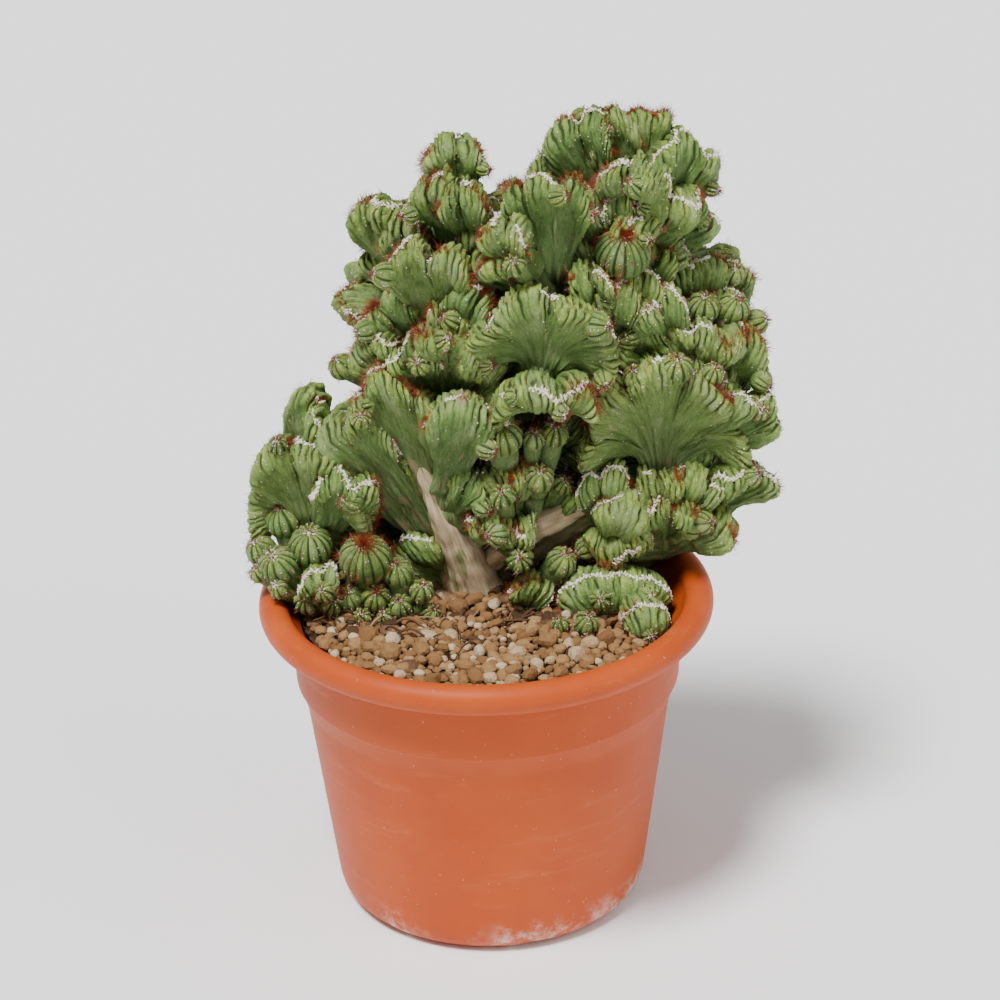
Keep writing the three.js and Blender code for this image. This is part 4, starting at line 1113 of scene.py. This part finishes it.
def bough(knots, soup, seed, pale, green):
    """A limb through several points, each with its own thickness, a little knotty."""
    points = np.array([p for p, _ in knots], float)
    radii = np.array([r for _, r in knots], float)
    run = np.r_[0, np.cumsum(np.linalg.norm(np.diff(points, axis=0), axis=1))]
    t = np.linspace(0, run[-1], max(12, int(run[-1] / 1.5)))
    soften = np.hanning(9) / np.hanning(9).sum()
    smooth = [np.convolve(np.pad(np.interp(t, run, v), 4, "edge"), soften, "valid")
              for v in (*points.T, radii)]
    path, radii = np.stack(smooth[:3], -1), smooth[3]
    sides = 40
    turn = circle(sides)
    ring = spokes(path, sides)
    knotty = 1 + 0.07 * np.sin(3 * turn[None] + t[:, None] * 0.09 + seed)
    knotty = knotty + 0.05 * np.sin(7 * turn[None] - t[:, None] * 0.05)
    body = path[:, None] + ring * (radii[:, None] * knotty)[..., None]
    body = body + ring * (0.35 * lumps(body, 7.0, 9))[..., None]
    flow = flowing(np.tile(turn * radii.max(), len(t)), np.repeat(t, sides), seed * 11.0)
    quads = ring_faces(len(t), sides)
    soup.add(body.reshape(-1, 3), quads=quads, flow=flow, pale=pale, green=green)


def branch_pieces(branch, skin, wool_finish, spine_finish):
    """The skin, wool and spines of one branch."""
    name, hub = branch["name"], branch["hub"]
    rng = np.random.default_rng(sum(ord(c) * (i + 7) for i, c in enumerate(name)))
    body, wool, spines = Soup(), Soup(), Soup()
    plain = dict(ridge=1.0, cleft=0.0, down=45.0, tone=0.5)
    offsets = []
    for item in branch.get("lobes", []):
        start = item.get("base", hub)
        surface = crest_surface(item, start, rng)
        add_crest(surface, body)
        dress_crest(surface, item, wool, spines, rng)
        offsets += pups(surface, item, rng)
        root = crest_frame(item, start)[0]
        if np.linalg.norm(root - np.array(start, float)) > 7:
            stalk(start, root, 7, 6, body, rng.uniform(0, 6), **plain)
        if "base" in item:
            stalk(hub, start, 7, 7, body, rng.uniform(0, 6), **plain)
    for item in branch.get("knobs", []) + offsets:
        surface = knob_surface(item, hub, rng)
        add_knob(surface, body)
        dress_knob(surface, item, wool, spines, rng)
        if item["stalk"] > 0:
            center = np.array(item["center"], float)
            back = np.array(hub, float) - center
            reach = min(item["stalk"], np.linalg.norm(back))
            thick = min(item["radius"] * 0.82, 7)
            end = center + unit(back) * reach
            stalk(center, end, thick, 0.8 * thick, body, rng.uniform(0, 6), **plain)
    finish_piece(body.build(name + "_skin", skin), "cactus_skin", name)
    finish_piece(wool.build(name + "_wool", wool_finish), "cactus_skin")
    finish_piece(spines.build(name + "_spines", spine_finish, smooth=False), "cactus_skin")


def trunk_piece(limbs, cork):
    """The old woody stem, its pale foot and arm in front, and a green limb to each branch."""
    soup = Soup()
    points = np.array([p for p, _ in STEM], float)
    radii = np.array([r for _, r in STEM], float)
    t = np.linspace(0, 1, 70)
    knots = np.linspace(0, 1, len(STEM))
    path = np.stack([np.interp(t, knots, points[:, k]) for k in range(3)], -1)
    sides = 64
    turn = circle(sides)[None]
    across, down = 9 * t[:, None], 17 * t[:, None]
    knotty = 1 + 0.05 * np.sin(3 * turn + across) + 0.03 * np.sin(7 * turn - down)
    r = np.interp(t, knots, radii)[:, None]
    verts = path[:, None] + spokes(path, sides) * (r * knotty)[..., None]
    flow = flowing(np.tile(turn[0] * 12, len(t)), np.repeat(t * 170, sides), 0)
    quads = ring_faces(len(t), sides)
    soup.add(verts.reshape(-1, 3), quads=quads, flow=flow, pale=0.0, green=0.0)
    bough(ARM, soup, 1.0, pale=0.3, green=0.2)
    for knots in STEM_FOOT:
        bough(knots, soup, 4.0, pale=1.0, green=0.0)
    for k, (foot, hub) in enumerate(limbs):
        middle = (np.array(foot, float) + np.array(hub, float)) / 2 - [0, 0, 3]
        bough([(foot, 8.5), (middle, 6.5), (hub, 7.5)], soup, 2.0 + k, pale=0.1, green=1.0)
    finish_piece(soup.build("trunk_bark", cork), "cork", "trunk")


def inner_radius(z):
    """Radius of the pot's inner wall at a height, in millimetres."""
    slope = min(z / WAIST_Z, 1.0)
    step = min(max((z - WAIST_Z) / (COLLAR_Z - WAIST_Z), 0.0), 1.0)
    return FOOT_R + (WAIST_R - FOOT_R) * slope + (COLLAR_R - WAIST_R) * step - POT_WALL


def turned(profile, segments, soup, ring=False, **values):
    """A surface of revolution from (radius, height) points; a ring closes it on itself."""
    profile = np.array(profile, float)
    turn = circle(segments)
    verts = np.stack([
        profile[:, 0, None] * np.cos(turn),
        profile[:, 0, None] * np.sin(turn),
        np.broadcast_to(profile[:, 1, None], (len(profile), segments)),
    ], -1)
    quads = ring_faces(len(profile) + ring, segments) % (len(profile) * segments)
    soup.add(verts.reshape(-1, 3), quads=quads, **values)


def face_outward(piece):
    """Turns all the faces of a closed mesh outwards."""
    shell = bmesh.new()
    shell.from_mesh(piece.data)
    bmesh.ops.recalc_face_normals(shell, faces=shell.faces)
    shell.to_mesh(piece.data)
    shell.free()


def pot_cuts(finish):
    """Closed bodies to take away: the drain holes and the arches under the foot."""
    soup = Soup()
    for i in range(DRAIN_COUNT):
        a = TAU * (i + 0.5) / DRAIN_COUNT
        x, y = DRAIN_RING * math.cos(a), DRAIN_RING * math.sin(a)
        tube([(x, y, -FLOOR_THICK), (x, y, 2 * FLOOR_THICK)], [DRAIN_R] * 2, 40, soup)
    for i in range(NOTCH_COUNT):
        a = math.pi * (1.5 + 1 / 12) + TAU * i / NOTCH_COUNT
        outward = np.array([math.cos(a), math.sin(a), 0.0])
        across = np.array([-math.sin(a), math.cos(a), 0.0])
        ends = [outward * (FOOT_R - NOTCH_DEEP), outward * (FOOT_R + NOTCH_DEEP)]
        tube(ends, [NOTCH_HIGH] * 2, 40, soup)
        verts = soup.verts[-1]
        verts += across * (verts @ across * (NOTCH_HALF / NOTCH_HIGH - 1))[:, None]
    return soup.build("pot_cuts", finish)


def pot_piece(finish):
    """The pot, with arches under the foot and drain holes through the floor."""
    bead = []
    for angle in np.radians(np.linspace(-100, 180, 24)):
        bead.append((RIM_MAJOR + RIM_BEAD * math.cos(angle),
                     POT_HEIGHT - RIM_BEAD + RIM_BEAD * math.sin(angle)))
    wall = inner_radius(POT_HEIGHT)
    floor_wall = inner_radius(FLOOR_THICK)
    wall_rows = np.linspace(0.06, 0.97, 9)
    profile = [
        (0.05, 0), (30, 0), (FOOT_R - 12, 0), (FOOT_R - 8.5, 0.4), (FOOT_R - 6, 1.2),
        (FOOT_R - 3.7, 2.7), (FOOT_R - 2, 4.5), (FOOT_R - 0.8, 7), (FOOT_R, 10),
        *[(FOOT_R + (WAIST_R - FOOT_R) * t, 10 + (WAIST_Z - 10) * t) for t in wall_rows],
        (WAIST_R - 0.1, WAIST_Z - 0.6), (WAIST_R + 0.3, WAIST_Z + 0.6),
        (COLLAR_R - 1.1, COLLAR_Z - 2.2), (COLLAR_R - 0.7, COLLAR_Z - 1.2),
        (COLLAR_R - 0.15, COLLAR_Z - 0.5), (COLLAR_R, COLLAR_Z + 0.4),
        (COLLAR_R + 0.4, COLLAR_Z + 8), (COLLAR_R + 1.5, POT_HEIGHT - 2 * RIM_BEAD), *bead,
        (wall + 1, POT_HEIGHT - 2 * RIM_BEAD), (wall, COLLAR_Z), (inner_radius(WAIST_Z), WAIST_Z),
        (floor_wall, FLOOR_THICK + 2), (floor_wall - 2, FLOOR_THICK), (0.05, FLOOR_THICK),
    ]
    soup = Soup()
    turned(profile, POT_SEGMENTS, soup, ring=True)
    pot = soup.build("pot_body", finish)
    cuts = pot_cuts(finish)
    face_outward(pot)
    face_outward(cuts)
    carve = pot.modifiers.new("cuts", "BOOLEAN")
    carve.operation = "DIFFERENCE"
    carve.solver = "EXACT"
    carve.object = cuts
    carved = pot.evaluated_get(bpy.context.evaluated_depsgraph_get())
    mesh = bpy.data.meshes.new_from_object(carved)
    pot.modifiers.clear()
    pot.data = mesh
    mesh.set_sharp_from_angle(angle=math.radians(35))
    bpy.data.objects.remove(cuts)
    return finish_piece(pot, "pot_plastic", "pot")


def soil_height(x, y):
    """Height of the soil in millimetres: mounded towards the back and left."""
    r = np.hypot(x, y)
    h = GRIT_TOP + 0.5 + 1.2 * np.sin(0.11 * x + 1) * np.cos(0.09 * y)
    h = h + 2.5 * smoothstep(-10, 60, y) * (1 - smoothstep(60, 84, r))
    h = h + 1.5 * smoothstep(-10, -60, x) * (1 - smoothstep(60, 84, r))
    return h - 1.5 * smoothstep(60, 84, r)


def soil_piece(finish):
    """The soil: an uneven top over a plain body that fills the pot."""
    soup = Soup()
    rows, sides = 121, 240
    radius = np.linspace(0.2, inner_radius(POT_HEIGHT) + 0.3, rows)
    x = radius[:, None] * np.cos(circle(sides))
    y = radius[:, None] * np.sin(circle(sides))
    coarse = np.sin(x * 0.9 + 2 * np.sin(y * 0.31)) * np.sin(y * 0.83 + 1.7 * np.sin(x * 0.27))
    fine = np.sin(x * 2.1 + 3 * np.sin(y * 0.7)) * np.sin(y * 2.3)
    verts = np.stack([x, y, soil_height(x, y) + 0.8 * (coarse + 0.5 * fine)], -1)
    soup.add(verts.reshape(-1, 3), quads=turned_over(ring_faces(rows, sides)))
    heights = (FLOOR_THICK + 0.1, WAIST_Z, COLLAR_Z, 134.0)
    sides_down = [(inner_radius(z) - 0.05, z) for z in heights]
    turned([(0.05, heights[0]), *sides_down], 120, soup)
    return finish_piece(soup.build("soil_surface", finish), "soil", "potting_soil")


def icosphere():
    """Vertices and triangles of an icosahedron split once."""
    g = (1 + math.sqrt(5)) / 2
    verts = [(-1, g, 0), (1, g, 0), (-1, -g, 0), (1, -g, 0), (0, -1, g), (0, 1, g), (0, -1, -g),
             (0, 1, -g), (g, 0, -1), (g, 0, 1), (-g, 0, -1), (-g, 0, 1)]
    tris = [(0, 11, 5), (0, 5, 1), (0, 1, 7), (0, 7, 10), (0, 10, 11), (1, 5, 9), (5, 11, 4),
            (11, 10, 2), (10, 7, 6), (7, 1, 8), (3, 9, 4), (3, 4, 2), (3, 2, 6), (3, 6, 8),
            (3, 8, 9), (4, 9, 5), (2, 4, 11), (6, 2, 10), (8, 6, 7), (9, 8, 1)]
    verts = [np.array(v, float) for v in verts]
    middle = {}

    def half(a, b):
        key = (min(a, b), max(a, b))
        if key not in middle:
            middle[key] = len(verts)
            verts.append((verts[a] + verts[b]) / 2)
        return middle[key]

    split = []
    for a, b, c in tris:
        ab, bc, ca = half(a, b), half(b, c), half(c, a)
        split += [(a, ab, ca), (b, bc, ab), (c, ca, bc), (ab, bc, ca)]
    return unit(np.array(verts)), np.array(split)


def add_stones(centers, sizes, tones, soup, rng, flat=0.75):
    """Angular stones: a round body cut by a handful of random planes."""
    ball, tris = icosphere()
    n = len(centers)
    planes = unit(rng.normal(size=(n, 10, 3)))
    offset = rng.uniform(0.74, 1.0, (n, 10, 1))
    facing = np.einsum("nkj,vj->nkv", planes, ball)
    reach = np.where(facing > 0.05, offset / np.maximum(facing, 0.05), 9.0).min(axis=1)
    reach = np.minimum(reach, 1.06)
    wide, deep = rng.uniform(0.75, 1.25, n), rng.uniform(0.75, 1.25, n)
    scale = np.stack([wide, deep, rng.uniform(flat - 0.15, flat + 0.2, n)], -1)
    turn = rng.uniform(0, TAU, n)
    tilt = rng.normal(0, 0.3, n)
    shape = ball[None] * reach[..., None] * scale[:, None] * sizes[:, None, None]
    c, s = np.cos(tilt)[:, None], np.sin(tilt)[:, None]
    y, z = shape[..., 1] * c - shape[..., 2] * s, shape[..., 1] * s + shape[..., 2] * c
    c, s = np.cos(turn)[:, None], np.sin(turn)[:, None]
    x, y = shape[..., 0] * c - y * s, shape[..., 0] * s + y * c
    verts = np.stack([x, y, z], -1) + centers[:, None]
    faces = tris[None] + len(ball) * np.arange(n)[:, None, None]
    soup.add(verts.reshape(-1, 3), tris=faces.reshape(-1, 3), tone=np.repeat(tones, len(ball)))


def grit_piece(finish):
    """Grit: dense at the front, thinner on the mound at the back and left."""
    rng = np.random.default_rng(31)
    soup = Soup()
    spots = []
    sizes = []
    tries = 0
    while len(spots) < MOST_STONES and tries < STONE_TRIES:
        tries += 1
        size = rng.choice([rng.uniform(1.2, 2.0), rng.uniform(2.0, 3.3), rng.uniform(3.3, 4.4)],
                          p=[0.22, 0.56, 0.22])
        r = math.sqrt(rng.uniform(0, 1)) * (STONE_REACH - size * 0.7)
        a = rng.uniform(0, TAU)
        x, y = r * math.cos(a), r * math.sin(a)
        dense = 1 - 0.72 * float(smoothstep(-18, 14, y + 0.25 * x * (x < 0)))
        if rng.uniform() > dense:
            continue
        near = [(x - p) ** 2 + (y - q) ** 2 < (0.70 * (size + other)) ** 2
                for (p, q), other in zip(spots, sizes)]
        if any(near):
            continue
        spots.append((x, y))
        sizes.append(size)
    spots = np.array(spots)
    sizes = np.array(sizes)
    z = soil_height(spots[:, 0], spots[:, 1]) + sizes * rng.uniform(0.35, 0.85, len(sizes))
    pale = rng.random(len(sizes)) < 0.17
    tones = np.where(pale, rng.uniform(0.82, 1, len(sizes)), rng.uniform(0.1, 0.72, len(sizes)))
    add_stones(np.column_stack([spots, z]), sizes, tones, soup, rng)
    stones = soup.build("grit_stones", finish, smooth=False)
    return finish_piece(stones, "grit", "grit_top_dressing")


def debris_piece(finish):
    """Dead roots, twigs and bark chips on the soil."""
    rng = np.random.default_rng(8)
    soup = Soup()
    for _ in range(ROOTS):
        r = math.sqrt(rng.uniform(0.0, 1)) * 74
        a = rng.uniform(0, TAU)
        x, y = r * math.cos(a), r * math.sin(a)
        if y < -22 + 0.2 * x and rng.uniform() < 0.93:
            continue
        length = rng.uniform(6, 26)
        heading = rng.uniform(0, TAU)
        steps = 9
        bend = np.cumsum(rng.normal(0, 0.22, steps))
        dx = np.cumsum(np.cos(heading + bend)) * length / steps
        dy = np.cumsum(np.sin(heading + bend)) * length / steps
        px, py = x + dx, y + dy
        keep = np.hypot(px, py) < 79
        if keep.sum() < 5:
            continue
        px, py = px[keep], py[keep]
        arch = np.abs(np.sin(np.linspace(0, 3, len(px)) * rng.uniform(0.5, 1.6)))
        lift = arch * rng.uniform(1, 5)
        path = np.column_stack([px, py, soil_height(px, py) + 1.2 + lift])
        thick = rng.uniform(0.2, 0.75) * np.linspace(1, 0.5, len(px))
        tube(path, thick, 6, soup, tone=rng.uniform(0.1, 0.9))
    r = np.sqrt(rng.uniform(0, 1, CHIPS)) * 76
    a = rng.uniform(0, TAU, CHIPS)
    x, y = r * np.cos(a), r * np.sin(a)
    keep = (y > -25 + 0.2 * x) | (rng.random(CHIPS) < 0.1)
    x, y = x[keep], y[keep]
    size = rng.uniform(2, 5.5, len(x))
    spots = np.column_stack([x, y, soil_height(x, y) + 1.5])
    add_stones(spots, size, rng.uniform(0.1, 0.8, len(x)), soup, rng, 0.3)
    return finish_piece(soup.build("dead_roots_and_chips", finish, smooth=False), "soil")


# ---- studio --------------------------------------------------------------------------------
def sun(direction, energy, angle):
    """A soft sun that shines from a direction; a wider angle gives softer shadows."""
    light = bpy.data.lights.new("sun", "SUN")
    light.energy = energy
    light.angle = math.radians(angle)
    lamp = bpy.data.objects.new("sun", light)
    lamp.rotation_euler = Vector(direction).to_track_quat("Z", "Y").to_euler()
    bpy.context.scene.collection.objects.link(lamp)


def studio():
    """A pale floor, even white surroundings, two soft suns and the camera."""
    bpy.ops.mesh.primitive_plane_add(size=8)
    floor = bpy.context.object
    floor.name = "floor"
    s = Shader("floor_paper", 0.9, 0.1)
    floor.data.materials.append(s.color((0.95, 0.95, 0.95)))
    world = bpy.data.worlds.new("studio")
    world.use_nodes = True
    world.node_tree.nodes["Background"].inputs[0].default_value = (1, 1, 1, 1)
    world.node_tree.nodes["Background"].inputs[1].default_value = 0.40
    bpy.context.scene.world = world
    sun((-0.34, -0.46, 1.25), 4.9, 16)
    sun((0.9, -0.6, 0.8), 0.8, 40)
    camera = bpy.data.cameras.new("camera")
    camera.lens = LENS
    camera.sensor_width = SENSOR
    camera.clip_start = 0.05
    view = bpy.data.objects.new("camera", camera)
    bpy.context.scene.collection.objects.link(view)
    toward = Vector((0, -math.cos(CAMERA_RISE), math.sin(CAMERA_RISE)))
    view.location = Vector(CAMERA_AIM) + toward * CAMERA_AWAY
    aim = (-toward).to_track_quat("-Z", "Y").to_matrix()
    view.rotation_euler = (aim @ Matrix.Rotation(CAMERA_ROLL, 3, "Z")).to_euler()
    bpy.context.scene.camera = view


skin = skin_material()
wool_finish = wool_material()
spine_finish = spine_material()
everything = BRANCHES + [ring_branch(ring, order) for order, ring in enumerate(RINGS)]
for branch in everything:
    branch_pieces(branch, skin, wool_finish, spine_finish)
limbs = [(LIMBS[b["name"]], b["hub"]) for b in everything if b["name"] in LIMBS]
trunk_piece(limbs, cork_material())
pot_piece(pot_material())
soil_piece(soil_material())
grit_piece(stone_material())
debris_piece(debris_material())
studio()
